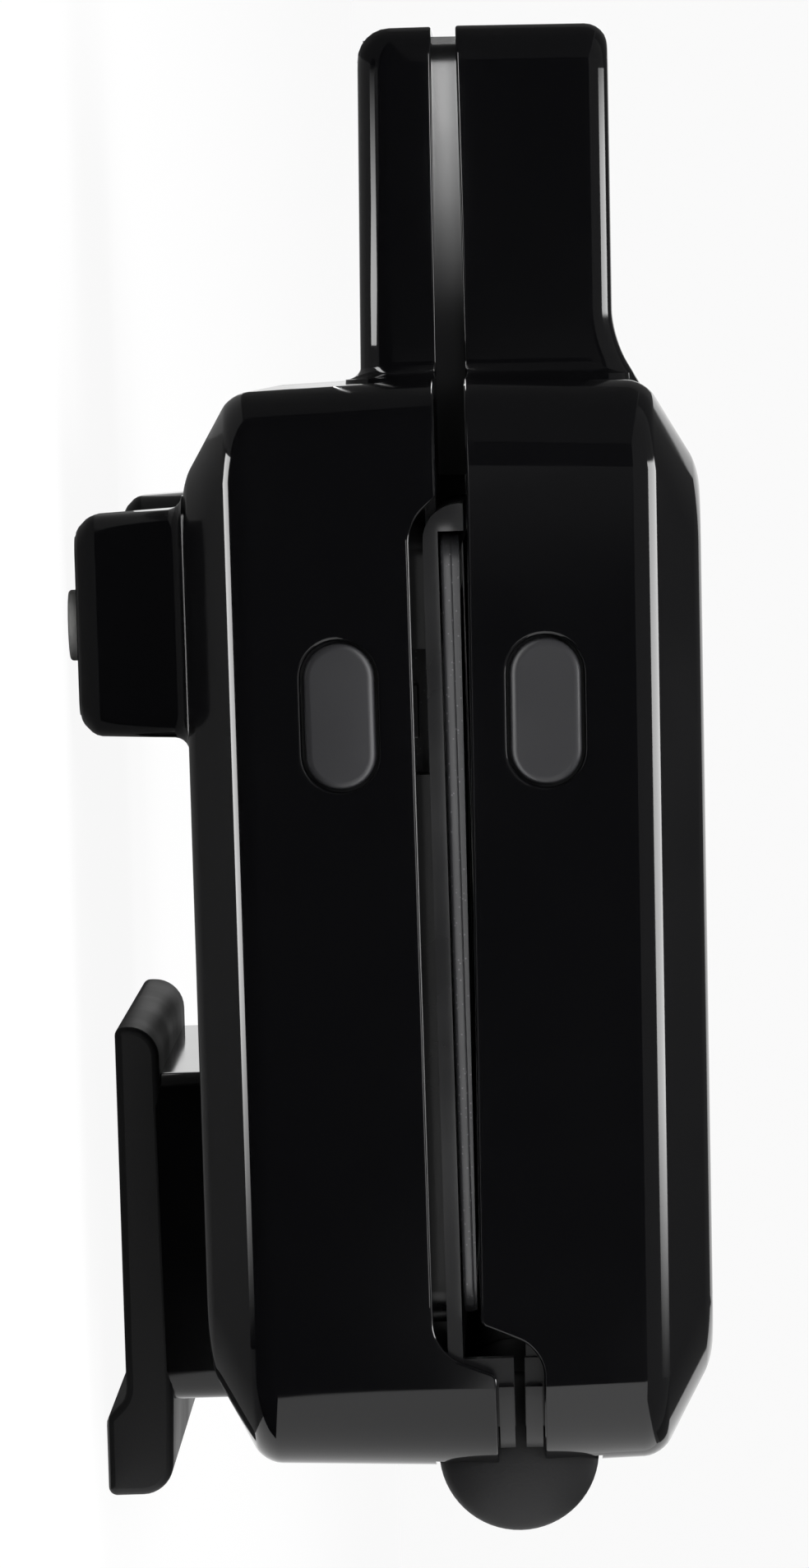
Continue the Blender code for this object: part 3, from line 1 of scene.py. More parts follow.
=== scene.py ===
"""Looks of the hinged sandwich toaster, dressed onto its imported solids.

The toaster lies on its feet: +X is the side with the release buttons, -Y the handle, +Y the hinge and +Z the lid.
Units are metres. The lid's pieces are made level and then turned about the hinge, because the lid rests a little
open. Inside each half, a depth is measured from the face of its frame that carries the plate, into the shell.
The camera is rolled, because the picture has the toaster standing on its hinge end.
"""

import json
import logging
import math
from dataclasses import dataclass
from enum import Enum, IntEnum
from typing import Iterable, Sequence

import bmesh
import bpy
from bmesh.types import BMEdge, BMesh, BMFace, BMVert
from mathutils import Matrix, Vector

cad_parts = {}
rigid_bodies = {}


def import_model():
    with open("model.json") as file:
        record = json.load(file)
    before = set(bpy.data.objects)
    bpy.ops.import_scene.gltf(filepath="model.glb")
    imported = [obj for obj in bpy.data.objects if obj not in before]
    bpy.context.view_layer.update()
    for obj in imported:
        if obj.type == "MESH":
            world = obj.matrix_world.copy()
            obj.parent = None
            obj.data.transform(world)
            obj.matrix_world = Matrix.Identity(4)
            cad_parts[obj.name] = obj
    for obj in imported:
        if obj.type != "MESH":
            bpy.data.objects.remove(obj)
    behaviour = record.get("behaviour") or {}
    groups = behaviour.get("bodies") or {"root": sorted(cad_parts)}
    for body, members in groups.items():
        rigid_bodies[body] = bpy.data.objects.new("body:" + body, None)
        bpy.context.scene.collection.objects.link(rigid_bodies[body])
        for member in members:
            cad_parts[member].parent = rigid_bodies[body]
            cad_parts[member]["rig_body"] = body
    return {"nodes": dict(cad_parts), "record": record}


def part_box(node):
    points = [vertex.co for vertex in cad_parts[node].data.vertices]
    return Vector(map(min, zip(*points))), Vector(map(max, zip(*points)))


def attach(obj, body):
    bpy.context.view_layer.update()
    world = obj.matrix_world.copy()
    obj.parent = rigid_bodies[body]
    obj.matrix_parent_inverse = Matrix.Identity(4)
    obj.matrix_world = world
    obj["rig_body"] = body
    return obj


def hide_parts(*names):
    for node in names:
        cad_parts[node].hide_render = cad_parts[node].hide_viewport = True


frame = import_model()

LOG = logging.getLogger("toaster")
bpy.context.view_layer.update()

# Gaps that the solids were made with
CLEAR = 0.0003
SLIDE = 0.0005
FIT = 0.0006
SINK = 0.001
HAIR = 0.0001
TOUCH = 0.000001
PAST = 0.010
PARALLEL = 0.999

# Facets
CORNER_STEPS = 14
ARC_STEPS = 9
EDGE_STEPS = 5
ROUND_STEPS = 64
PIN_STEPS = 28
SHARP = math.radians(30.0)
FLAT = math.radians(0.3)

Point = tuple[float, ...]
Span = tuple[float, float]
Colour = tuple[float, float, float, float]


class Axis(Enum):
    """The axis that an outline is drawn out along."""

    X = "X"
    Y = "Y"
    Z = "Z"


class Mark(IntEnum):
    """Which shape a face of a carved piece came from."""

    SKIN = 0
    HANDLE = 1
    FOOT = 2
    INSIDE = 3
    SEAM = 4
    HOLE = 5
    BUTTON = 6


# Shapes


def face_out(bm: BMesh) -> BMesh:
    """Turns the faces of a closed bmesh outward.

    Args:
        bm: The closed bmesh.

    Returns:
        The same bmesh.
    """
    bmesh.ops.recalc_face_normals(bm, faces=bm.faces)
    if bm.calc_volume(signed=True) < 0.0:
        bmesh.ops.reverse_faces(bm, faces=bm.faces)
    return bm


def marked(bm: BMesh, mark: Mark) -> BMesh:
    """Marks every face of a bmesh.

    Args:
        bm: The bmesh.
        mark: The mark that its faces get.

    Returns:
        The same bmesh.
    """
    for face in bm.faces:
        face.material_index = mark
    return bm


def box(low: Sequence[float], high: Sequence[float]) -> BMesh:
    """Makes a box.

    Args:
        low: Its lowest corner.
        high: Its highest corner.

    Returns:
        The box.
    """
    low, high = Vector(low), Vector(high)
    bm = bmesh.new()
    size = Matrix.Diagonal((high - low).to_4d())
    bmesh.ops.create_cube(bm, size=1.0, matrix=Matrix.Translation((low + high) / 2) @ size)
    return bm


def along(bm: BMesh, axis: Axis) -> list[BMEdge]:
    """Finds the edges that run along an axis."""
    index = "XYZ".index(axis.value)
    return [e for e in bm.edges if abs((e.verts[0].co - e.verts[1].co).normalized()[index]) > PARALLEL]


def soften(bm: BMesh, edges: Iterable[BMEdge], width: float, steps: int = EDGE_STEPS, clamp: bool = False) -> None:
    """Rounds edges of a bmesh.

    Args:
        bm: The bmesh.
        edges: The edges.
        width: How far the rounding reaches from each edge.
        steps: How many facets it has.
        clamp: Whether it stops where roundings would meet.
    """
    bmesh.ops.bevel(
        bm,
        geom=list(edges),
        offset=width,
        segments=steps,
        profile=0.5,
        affect="EDGES",
        material=-1,
        clamp_overlap=clamp,
    )


def rounded_box(
    low: Sequence[float], high: Sequence[float], radius: float, axis: Axis = Axis.Z, steps: int = ARC_STEPS
) -> BMesh:
    """Makes a box whose edges along one axis are rounded.

    Args:
        low: Its lowest corner.
        high: Its highest corner.
        radius: The radius of its edges.
        axis: The axis that those edges run along.
        steps: How many facets each has.

    Returns:
        The box.
    """
    bm = box(low, high)
    soften(bm, along(bm, axis), radius, steps)
    return bm


def cylinder(centre: Sequence[float], radius: float, length: float, axis: Axis, steps: int = ROUND_STEPS) -> BMesh:
    """Makes a cylinder.

    Args:
        centre: Its middle.
        radius: Its radius.
        length: Its length.
        axis: The axis that it runs along.
        steps: How many facets it has.

    Returns:
        The cylinder.
    """
    turn = {Axis.X: Matrix.Rotation(math.pi / 2, 4, "Y"), Axis.Y: Matrix.Rotation(math.pi / 2, 4, "X")}
    matrix = Matrix.Translation(centre) @ turn.get(axis, Matrix())
    bm = bmesh.new()
    bmesh.ops.create_cone(
        bm, cap_ends=True, segments=steps, radius1=radius, radius2=radius, depth=length, matrix=matrix
    )
    return bm


def outline(corners: Sequence[Point], axis: Axis, span: Span) -> BMesh:
    """Draws an outline out along an axis.

    Args:
        corners: Its corners as (y, z), (x, z) or (x, y), each with a radius as its third value if it is rounded.
        axis: The axis.
        span: Where the solid starts and ends on that axis.

    Returns:
        The solid.
    """
    bm = bmesh.new()
    verts = [bm.verts.new((corner[0], corner[1], 0.0)) for corner in corners]
    bm.faces.new(verts)
    places = [vert.co.copy() for vert in verts]
    for i, corner in enumerate(corners):
        if len(corner) == 3:
            back = places[i - 1] - places[i]
            ahead = places[(i + 1) % len(places)] - places[i]
            reach = corner[2] / math.tan(back.angle(ahead) / 2)
            bmesh.ops.bevel(
                bm,
                geom=[verts[i]],
                offset=reach,
                segments=ARC_STEPS,
                profile=0.5,
                affect="VERTICES",
                material=-1,
                clamp_overlap=False,
            )
    bmesh.ops.remove_doubles(bm, verts=bm.verts, dist=TOUCH)
    low, high = sorted(span)
    drawn = bmesh.ops.extrude_face_region(bm, geom=list(bm.faces), use_keep_orig=True)
    moved = [item for item in drawn["geom"] if isinstance(item, BMVert)]
    bmesh.ops.translate(bm, verts=moved, vec=(0.0, 0.0, high - low))
    frames = {
        Axis.X: Matrix(((0, 0, 1, low), (1, 0, 0, 0), (0, 1, 0, 0), (0, 0, 0, 1))),
        Axis.Y: Matrix(((1, 0, 0, 0), (0, 0, 1, low), (0, 1, 0, 0), (0, 0, 0, 1))),
        Axis.Z: Matrix.Translation((0.0, 0.0, low)),
    }
    bm.transform(frames[axis])
    return face_out(bm)


def oval(y: float, z: float, length: float, height: float, span: Span) -> BMesh:
    """Makes an oval prism along X.

    Args:
        y: Its middle on Y.
        z: Its middle on Z.
        length: Its length on Y.
        height: Its height on Z.
        span: Where it starts and ends on X.

    Returns:
        The prism.
    """
    a, b, radius = length / 2, height / 2, height / 2 - HAIR
    corners = [(y - a, z - b, radius), (y + a, z - b, radius), (y + a, z + b, radius), (y - a, z + b, radius)]
    return outline(corners, Axis.X, span)


def turned(profile: Sequence[Point], matrix: Matrix, steps: int = ROUND_STEPS) -> BMesh:
    """Makes a turned piece.

    Args:
        profile: Its (radius, height) points, from the axis out and back to the axis.
        matrix: Where its axis, Z, goes.
        steps: How many facets it has.

    Returns:
        The piece.
    """
    bm = bmesh.new()
    verts = [bm.verts.new((radius, 0.0, height)) for radius, height in profile]
    edges = [bm.edges.new(pair) for pair in zip(verts, verts[1:])]
    bmesh.ops.spin(
        bm,
        geom=verts + edges,
        cent=(0.0, 0.0, 0.0),
        axis=(0.0, 0.0, 1.0),
        angle=math.tau,
        steps=steps,
        use_merge=True,
    )
    bmesh.ops.remove_doubles(bm, verts=bm.verts, dist=TOUCH)
    bm.transform(matrix)
    return face_out(bm)


def quarter(steps: int = ARC_STEPS) -> list[float]:
    """Returns the angles of a quarter turn in steps."""
    return [math.pi / 2 * i / steps for i in range(steps + 1)]


def merged(*shapes: BMesh) -> BMesh:
    """Puts several separate shapes in one bmesh.

    Args:
        shapes: The shapes, which are used up.

    Returns:
        The bmesh.
    """
    whole = bmesh.new()
    for bm in shapes:
        mesh = bpy.data.meshes.new("merged")
        face_out(bm).to_mesh(mesh)
        bm.free()
        whole.from_mesh(mesh)
        bpy.data.meshes.remove(mesh)
    return whole


def as_object(name: str, bm: BMesh) -> bpy.types.Object:
    """Makes an object of a bmesh, with a slot for each mark.

    Args:
        name: The object's name.
        bm: The bmesh, which is used up.

    Returns:
        The object, linked to the scene.
    """
    mesh = bpy.data.meshes.new(name)
    face_out(bm).to_mesh(mesh)
    bm.free()
    for _ in Mark:
        mesh.materials.append(None)
    obj = bpy.data.objects.new(name, mesh)
    bpy.context.scene.collection.objects.link(obj)
    return obj


class Carving:
    """A solid that other solids are joined to and cut from; each face keeps the mark of its own solid."""

    def __init__(self, bm: BMesh) -> None:
        """Starts from a solid."""
        self.bm = face_out(bm)

    def _work(self, operation: str, shape: BMesh) -> None:
        """Joins or cuts one shape.

        Args:
            operation: The Boolean operation.
            shape: The shape, which is used up.
        """
        target, tool = as_object("carving", self.bm), as_object("tool", shape)
        modifier = target.modifiers.new("carve", "BOOLEAN")
        modifier.operation = operation
        modifier.solver = "EXACT"
        modifier.material_mode = "INDEX"
        modifier.object = tool
        mesh = bpy.data.meshes.new_from_object(target.evaluated_get(bpy.context.evaluated_depsgraph_get()))
        self.bm = bmesh.new()
        self.bm.from_mesh(mesh)
        bpy.data.meshes.remove(mesh)
        for obj in (target, tool):
            bpy.data.meshes.remove(obj.data)

    def join(self, *shapes: BMesh, mark: Mark = Mark.SKIN) -> None:
        """Joins shapes, with a mark on their faces."""
        for shape in shapes:
            self._work("UNION", marked(shape, mark))

    def cut(self, *shapes: BMesh, mark: Mark = Mark.HOLE) -> None:
        """Cuts shapes out, with a mark on the faces that they leave."""
        for shape in shapes:
            self._work("DIFFERENCE", marked(shape, mark))

    def between(self, first: Sequence[Mark], second: Sequence[Mark], sharper: float = SHARP) -> list[BMEdge]:
        """Finds the edges where faces of two groups of marks meet.

        Args:
            first: The marks of one side.
            second: The marks of the other side.
            sharper: The least angle between the two faces.

        Returns:
            The edges.
        """
        self.bm.normal_update()
        found = []
        for edge in self.bm.edges:
            if len(edge.link_faces) != 2 or edge.calc_face_angle() < sharper:
                continue
            one, other = (face.material_index for face in edge.link_faces)
            if (one in first and other in second) or (other in first and one in second):
                found.append(edge)
        return found

    def tidy(self) -> None:
        """Merges doubled corners and the flat facets that carving leaves."""
        bmesh.ops.remove_doubles(self.bm, verts=self.bm.verts, dist=TOUCH)
        bmesh.ops.dissolve_limit(
            self.bm, angle_limit=FLAT, verts=self.bm.verts, edges=self.bm.edges, delimit={"MATERIAL"}
        )


# Finishes

MM_PER_M = 1000.0
GRAIN_DETAIL = 2.0


def linear(code: str) -> Colour:
    """Turns an sRGB colour to linear light.

    Args:
        code: Six hex digits.

    Returns:
        Linear red, green and blue, and 1.
    """
    channels = [int(code[i : i + 2], 16) / 255 for i in (0, 2, 4)]
    red, green, blue = (c / 12.92 if c <= 0.04045 else ((c + 0.055) / 1.055) ** 2.4 for c in channels)
    return red, green, blue, 1.0


def add_node(
    tree: bpy.types.NodeTree, kind: str, inputs: dict[str | int, object] | None = None, **settings: object
) -> bpy.types.Node:
    """Adds a node with its settings and links.

    Args:
        tree: The node tree.
        kind: The node's type.
        inputs: Its inputs by name or number; an output socket is linked and anything else is set.
        settings: Its other settings.

    Returns:
        The node.
    """
    node = tree.nodes.new(kind)
    for name, value in settings.items():
        setattr(node, name, value)
    for name, value in (inputs or {}).items():
        if isinstance(value, bpy.types.NodeSocket):
            tree.links.new(value, node.inputs[name])
        else:
            node.inputs[name].default_value = value
    return node


@dataclass(frozen=True)
class Finish:
    """A finish: one colour that drifts to another in patches, with a fine grain in its surface."""

    name: str
    colour: str
    drift: str
    roughness: Span
    grain_mm: float
    relief_mm: float
    patch_mm: float = 24.0
    metallic: float = 0.0
    ior: float = 1.5
    stretch: Point = (1.0, 1.0, 1.0)
    specular: float = 0.5
    wear_span: Span = (0.3, 0.7)
    patch_detail: float = 3.0

    def material(self) -> bpy.types.Material:
        """Makes the material on first use.

        Returns:
            The material.
        """
        material = bpy.data.materials.get(self.name)
        if material:
            return material
        material = bpy.data.materials.new(self.name)
        material.use_nodes = True
        tree = material.node_tree
        shader = tree.nodes["Principled BSDF"]
        shader.inputs["Metallic"].default_value = self.metallic
        if self.metallic < 1.0:
            shader.inputs["IOR"].default_value = self.ior
            shader.inputs["Specular IOR Level"].default_value = self.specular
        place = add_node(tree, "ShaderNodeTexCoord").outputs["Object"]
        place = add_node(tree, "ShaderNodeMapping", {"Vector": place, "Scale": self.stretch}).outputs["Vector"]
        self.shade(tree, shader, place)
        return material

    def shade(self, tree: bpy.types.NodeTree, shader: bpy.types.Node, place: bpy.types.NodeSocket) -> None:
        """Links the pattern to the shader.

        Args:
            tree: The node tree.
            shader: The shader.
            place: The coordinates.
        """
        patch = self.noise(tree, place, self.patch_mm, self.patch_detail)
        self.link(tree, shader, patch, patch, self.noise(tree, place, self.grain_mm, GRAIN_DETAIL))

    def noise(
        self, tree: bpy.types.NodeTree, place: bpy.types.NodeSocket, size_mm: float, detail: float
    ) -> bpy.types.NodeSocket:
        """Adds a noise of a size and returns its output."""
        inputs = {"Vector": place, "Scale": MM_PER_M / size_mm, "Detail": detail}
        return add_node(tree, "ShaderNodeTexNoise", inputs).outputs["Fac"]

    def link(
        self,
        tree: bpy.types.NodeTree,
        shader: bpy.types.Node,
        tone: bpy.types.NodeSocket,
        wear: bpy.types.NodeSocket,
        height: bpy.types.NodeSocket,
    ) -> None:
        """Links a tone, a wear and a height to the shader's colour, roughness and normal.

        Args:
            tree: The node tree.
            shader: The shader.
            tone: Where the colour drifts, from 0 to 1.
            wear: Where the surface is duller, from 0 to 1.
            height: The surface's height, from 0 to 1.
        """
        colour = add_node(
            tree, "ShaderNodeMix", {0: tone, 6: linear(self.colour), 7: linear(self.drift)}, data_type="RGBA"
        )
        (least, most), (low, high) = self.wear_span, self.roughness
        inputs = {"Value": wear, "From Min": least, "From Max": most, "To Min": low, "To Max": high}
        dull = add_node(tree, "ShaderNodeMapRange", inputs)
        bump = add_node(tree, "ShaderNodeBump", {"Height": height, "Distance": self.relief_mm / MM_PER_M})
        tree.links.new(colour.outputs[2], shader.inputs["Base Color"])
        tree.links.new(dull.outputs["Result"], shader.inputs["Roughness"])
        tree.links.new(bump.outputs["Normal"], shader.inputs["Normal"])


@dataclass(frozen=True)
class Flecked(Finish):
    """A sprayed coat with lighter flecks in it."""

    fleck_mm: float = 0.9
    fleck_edge: Span = (0.12, 0.2)
    patch_detail: float = 4.0

    def shade(self, tree: bpy.types.NodeTree, shader: bpy.types.Node, place: bpy.types.NodeSocket) -> None:
        """Links the flecks to the shader.

        Args:
            tree: The node tree.
            shader: The shader.
            place: The coordinates.
        """
        cells = add_node(tree, "ShaderNodeTexVoronoi", {"Vector": place, "Scale": MM_PER_M / self.fleck_mm})
        near, far = self.fleck_edge
        inputs = {"Value": cells.outputs["Distance"], "From Min": near, "From Max": far, "To Min": 1.0, "To Max": 0.0}
        fleck = add_node(tree, "ShaderNodeMapRange", inputs).outputs["Result"]
        patch = self.noise(tree, place, self.patch_mm, self.patch_detail)
        self.link(tree, shader, fleck, patch, self.noise(tree, place, self.grain_mm, GRAIN_DETAIL))


@dataclass(frozen=True)
class Woven(Finish):
    """A braided sleeve: two sets of threads that cross on the slant."""

    thread_mm: float = 0.9
    slant: float = 0.7

    def shade(self, tree: bpy.types.NodeTree, shader: bpy.types.Node, place: bpy.types.NodeSocket) -> None:
        """Links the braid to the shader.

        Args:
            tree: The node tree.
            shader: The shader.
            place: The coordinates.
        """
        threads = []
        for slant in (self.slant, -self.slant):
            turned_place = add_node(
                tree, "ShaderNodeMapping", {"Vector": place, "Rotation": (slant, slant, slant)}
            ).outputs["Vector"]
            wave = add_node(
                tree, "ShaderNodeTexWave", {"Vector": turned_place, "Scale": MM_PER_M / self.thread_mm / math.tau}
            )
            threads.append(wave.outputs["Fac"])
        braid = add_node(
            tree, "ShaderNodeMath", {0: threads[0], 1: threads[1]}, operation="MAXIMUM"
        ).outputs["Value"]
        self.link(tree, shader, braid, braid, braid)


@dataclass(frozen=True)
class Lens(Finish):
    """A tinted clear lens; the fine rings inside it that spread its lamp's light are not drawn."""

    clear: float = 0.75

    def shade(self, tree: bpy.types.NodeTree, shader: bpy.types.Node, place: bpy.types.NodeSocket) -> None:
        """Links the lens to the shader."""
        shader.inputs["Transmission Weight"].default_value = self.clear
        super().shade(tree, shader, place)


# High-gloss moulded ABS: a polished tool leaves a mirror skin with a very shallow, broad waviness, so edges show as
# clean lines of light and flats stay almost black.
GLOSS_ABS = Finish("gloss_black_abs", "060607", "080809", (0.05, 0.10), 9.0, 0.003, patch_mm=40.0)
# Satin moulded polypropylene with heat-proof filler: a soft, even sheen.
SATIN_PP = Finish("satin_black_polypropylene", "0C0C0D", "111112", (0.26, 0.36), 1.2, 0.008)
# Spark-eroded moulded polypropylene: a fine grain, drawn at 0.5 mm so that it shows, that greys every highlight.
GRAINED_PP = Finish("grained_black_polypropylene", "101011", "161617", (0.40, 0.52), 0.5, 0.03, specular=0.4)
# Moulded ABS with a satin texture and a dark grey pigment.
BUTTON_ABS = Finish("satin_grey_abs", "1F1F21", "252527", (0.40, 0.50), 0.7, 0.012)
# Moulded thermoplastic rubber: a dull bloom and no clear highlight.
RUBBER = Finish("grey_rubber", "8C8C8B", "989896", (0.80, 0.92), 0.8, 0.03, specular=0.3)
# Die-cast aluminium with a sprayed non-stick coat: dark grey, with lighter flecks and a soft satin sheen.
NON_STICK = Flecked("non_stick_cast_aluminium", "3A3A3C", "6A6A6C", (0.28, 0.42), 0.8, 0.012, patch_mm=14.0)
# Aluminised sheet: bright, with a fine rolled streak along its length.
SHEET_METAL = Finish(
    "aluminised_sheet", "C9C9C7", "B4B4B2", (0.24, 0.40), 0.6, 0.004, metallic=1.0, stretch=(0.05, 1.0, 1.0)
)
# Stainless heating tube, oxidised straw and blue-grey by heat.
HEATER_TUBE = Finish("oxidised_heater_tube", "6A6258", "4E5057", (0.38, 0.52), 0.5, 0.01, metallic=1.0, patch_mm=9.0)
# Drawn and plated steel, with fine lines left by the die.
PIN_STEEL = Finish("plated_pin_steel", "B9B9B8", "A2A2A0", (0.22, 0.34), 0.3, 0.004, metallic=1.0, patch_mm=6.0)
# Pressed steatite ceramic: off-white, dry and slightly speckled.
STEATITE = Flecked("steatite_ceramic", "D8D2C2", "C2BAA6", (0.55, 0.7), 0.5, 0.02, fleck_mm=1.1)
# Braided glass-fibre sleeve.
SLEEVE = Woven("glass_fibre_sleeve", "BDB6A2", "E0DAC8", (0.6, 0.8), 0.5, 0.12)
# Laminate under a green solder lacquer: a smooth coat over a faint weave.
LACQUER = Finish("lacquered_laminate", "1F4A22", "28592A", (0.25, 0.4), 1.0, 0.015, patch_mm=5.0)
RED_LENS = Lens("red_polycarbonate", "9C0C0C", "B01212", (0.08, 0.16), 0.6, 0.02)
GREEN_LENS = Lens("green_polycarbonate", "0C7A2C", "128A36", (0.08, 0.16), 0.6, 0.02)

FINISHES = {
    "gloss_black": GLOSS_ABS,
    "satin_black": SATIN_PP,
    "matte_black": GRAINED_PP,
    "button_grey": BUTTON_ABS,
    "foot_rubber": RUBBER,
    "plate_coating": NON_STICK,
    "bright_sheet": SHEET_METAL,
    "heater_steel": HEATER_TUBE,
    "pin_steel": PIN_STEEL,
    "ceramic": STEATITE,
    "lead_sleeve": SLEEVE,
    "board": LACQUER,
    "red_lens": RED_LENS,
    "green_lens": GREEN_LENS,
}
SLOTS = {row["node"]: row["material_slot"] for row in frame["record"]["subparts"]}


def publish(
    name: str,
    bm: BMesh,
    node: str,
    turn: Matrix | None = None,
    edge: float = 0.0,
    slot: str | None = None,
    replace: bool = True,
) -> bpy.types.Object:
    """Makes a finished piece of a bmesh and lets it stand for a CAD node.

    Args:
        name: The piece's name.
        bm: The bmesh, which is used up.
        node: The CAD node that it stands for, or that it sits on.
        turn: A turn that its half of the toaster has.
        edge: The width that its sharp edges are rounded to.
        slot: The material slot, if it isn't the node's own.
        replace: Whether the node is hidden.

    Returns:
        The piece.
    """
    marked(bm, Mark.SKIN)
    bmesh.ops.remove_doubles(bm, verts=bm.verts, dist=TOUCH)
    if turn:
        bm.transform(turn)
    mesh = bpy.data.meshes.new(name)
    face_out(bm).to_mesh(mesh)
    bm.free()
    slot = slot or SLOTS[node]
    mesh.materials.append(FINISHES[slot].material())
    mesh.shade_smooth()
    mesh.set_sharp_from_angle(angle=SHARP)
    obj = bpy.data.objects.new(name, mesh)
    bpy.context.scene.collection.objects.link(obj)
    if edge:
        bevel = obj.modifiers.new("edges", "BEVEL")
        bevel.width = edge
        bevel.segments = 3
        bevel.limit_method = "ANGLE"
        bevel.angle_limit = SHARP
        bevel.miter_outer = "MITER_ARC"
        bevel.harden_normals = True
    normals = obj.modifiers.new("normals", "WEIGHTED_NORMAL")
    normals.keep_sharp = True
    if replace:
        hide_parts(node)
    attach(obj, frame["nodes"][node]["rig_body"])
    LOG.info("piece %s: %d faces, slot %s", name, len(mesh.polygons), slot)
    return obj


# Sizes that several sub-assemblies share


@dataclass(frozen=True)
class Body:
    """The outline of the toaster and its levels."""

    width: float = 0.240
    depth: float = 0.1825
    handle_reach: float = 0.0605
    corner: float = 0.0146
    wall: float = 0.0025
    draft: float = math.radians(2.0)
    chamfer_run: float = 0.015
    chamfer_rise: float = 0.009
    edge: float = 0.003
    panel_z: float = 0.020
    rim_z: float = 0.063
    side_z: float = 0.0582
    rear_z: float = 0.0685
    lid_z: float = 0.0658
    lid_rear_z: float = 0.0762
    top_z: float = 0.1048
    hinge_z: float = 0.0718
    hinge_behind: float = -0.0023
    barrel_radius: float = 0.0134
    barrel_half: float = 0.106
    ajar: float = math.radians(0.8)

    @property
    def tip_y(self) -> float:
        """Returns where the handle ends."""
        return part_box("base_shell")[0].y

    @property
    def front_y(self) -> float:
        """Returns where the front wall stands."""
        return self.tip_y + self.handle_reach

    @property
    def rear_y(self) -> float:
        """Returns where the rear wall stands."""
        return self.front_y + self.depth

    @property
    def mid_y(self) -> float:
        """Returns the middle of the shells on Y."""
        return self.front_y + self.depth / 2

    @property
    def hinge_y(self) -> float:
        """Returns where the hinge stands."""
        return self.rear_y + self.hinge_behind

    @property
    def lid_turn(self) -> Matrix:
        """Returns the turn that the lid rests at."""
        hinge = Matrix.Translation((0.0, self.hinge_y, self.hinge_z))
        return hinge @ Matrix.Rotation(-self.ajar, 4, "X") @ hinge.inverted()


BODY = Body()


@dataclass(frozen=True)
class Half:
    """One half of the toaster and its levels."""

    name: str
    ring: float
    inward: int
    rim: float
    panel: float
    button_z: float
    turn: Matrix | None

    def at(self, depth: float) -> float:
        """Returns the height of a depth behind the frame's face."""
        return self.ring + self.inward * depth

    def box(self, x_span: Span, y_span: Span, depths: Span) -> BMesh:
        """Makes a box between two depths."""
        z_span = sorted(self.at(depth) for depth in depths)
        return box(*zip(sorted(x_span), sorted(y_span), z_span))

    def wall_x(self, height: float) -> float:
        """Returns the outer half width of the side wall at a height."""
        return BODY.width / 2 - math.tan(BODY.draft) * abs(height - self.rim)


@dataclass(frozen=True)
class Ring:
    """The plan of the plates and of the frames round them."""

    plate_width: float = 0.227
    plate_front: float = 0.0258
    plate_depth: float = 0.1305
    flange: float = 0.0021
    pan_inset_x: float = 0.013
    pan_inset_y: float = 0.0085
    pan_depth: float = 0.0085
    corner: float = 0.006
    skirt_gap: float = 0.003
    skirt_wall: float = 0.0075
    skirt_depth: float = 0.0099
    screw_inset: float = 0.004
    button_back: float = 0.0554

    @property
    def plate_y(self) -> Span:
        """Returns where the plates start and end on Y."""
        start = BODY.front_y + self.plate_front
        return start, start + self.plate_depth

    @property
    def pan_half(self) -> float:
        """Returns the half width of the pan."""
        return self.plate_width / 2 - self.pan_inset_x

    @property
    def pan_y(self) -> Span:
        """Returns where the pan starts and ends on Y."""
        start, end = self.plate_y
        return start + self.pan_inset_y, end - self.pan_inset_y

    @property
    def skirt_in(self) -> float:
        """Returns the inner half width of the skirt."""
        return self.pan_half + self.skirt_gap

    @property
    def skirt_out(self) -> float:
        """Returns the outer half width of the skirt."""
        return self.skirt_in + self.skirt_wall

    @property
    def skirt_y(self) -> Span:
        """Returns where the skirt starts and ends on Y."""
        start, end = self.pan_y
        return start - self.skirt_gap - self.skirt_wall, end + self.skirt_gap + self.skirt_wall

    @property
    def screws(self) -> list[Point]:
        """Returns where the frame screws stand."""
        start, end = self.skirt_y
        reach = self.skirt_wall + self.screw_inset
        middle = (self.skirt_in + self.skirt_out) / 2
        return [(side * middle, y) for y in (start + reach, end - reach) for side in (-1, 1)]

    @property
    def button_y(self) -> float:
        """Returns where the release buttons stand on Y."""
        return BODY.front_y + self.button_back


RING = Ring()
LOWER = Half("lower", BODY.rim_z, -1, BODY.rear_z, BODY.panel_z, 0.0459, None)
UPPER = Half("upper", BODY.lid_z + RING.flange + CLEAR, 1, BODY.lid_z, BODY.top_z, 0.0783, BODY.lid_turn)


# Sub-assemblies


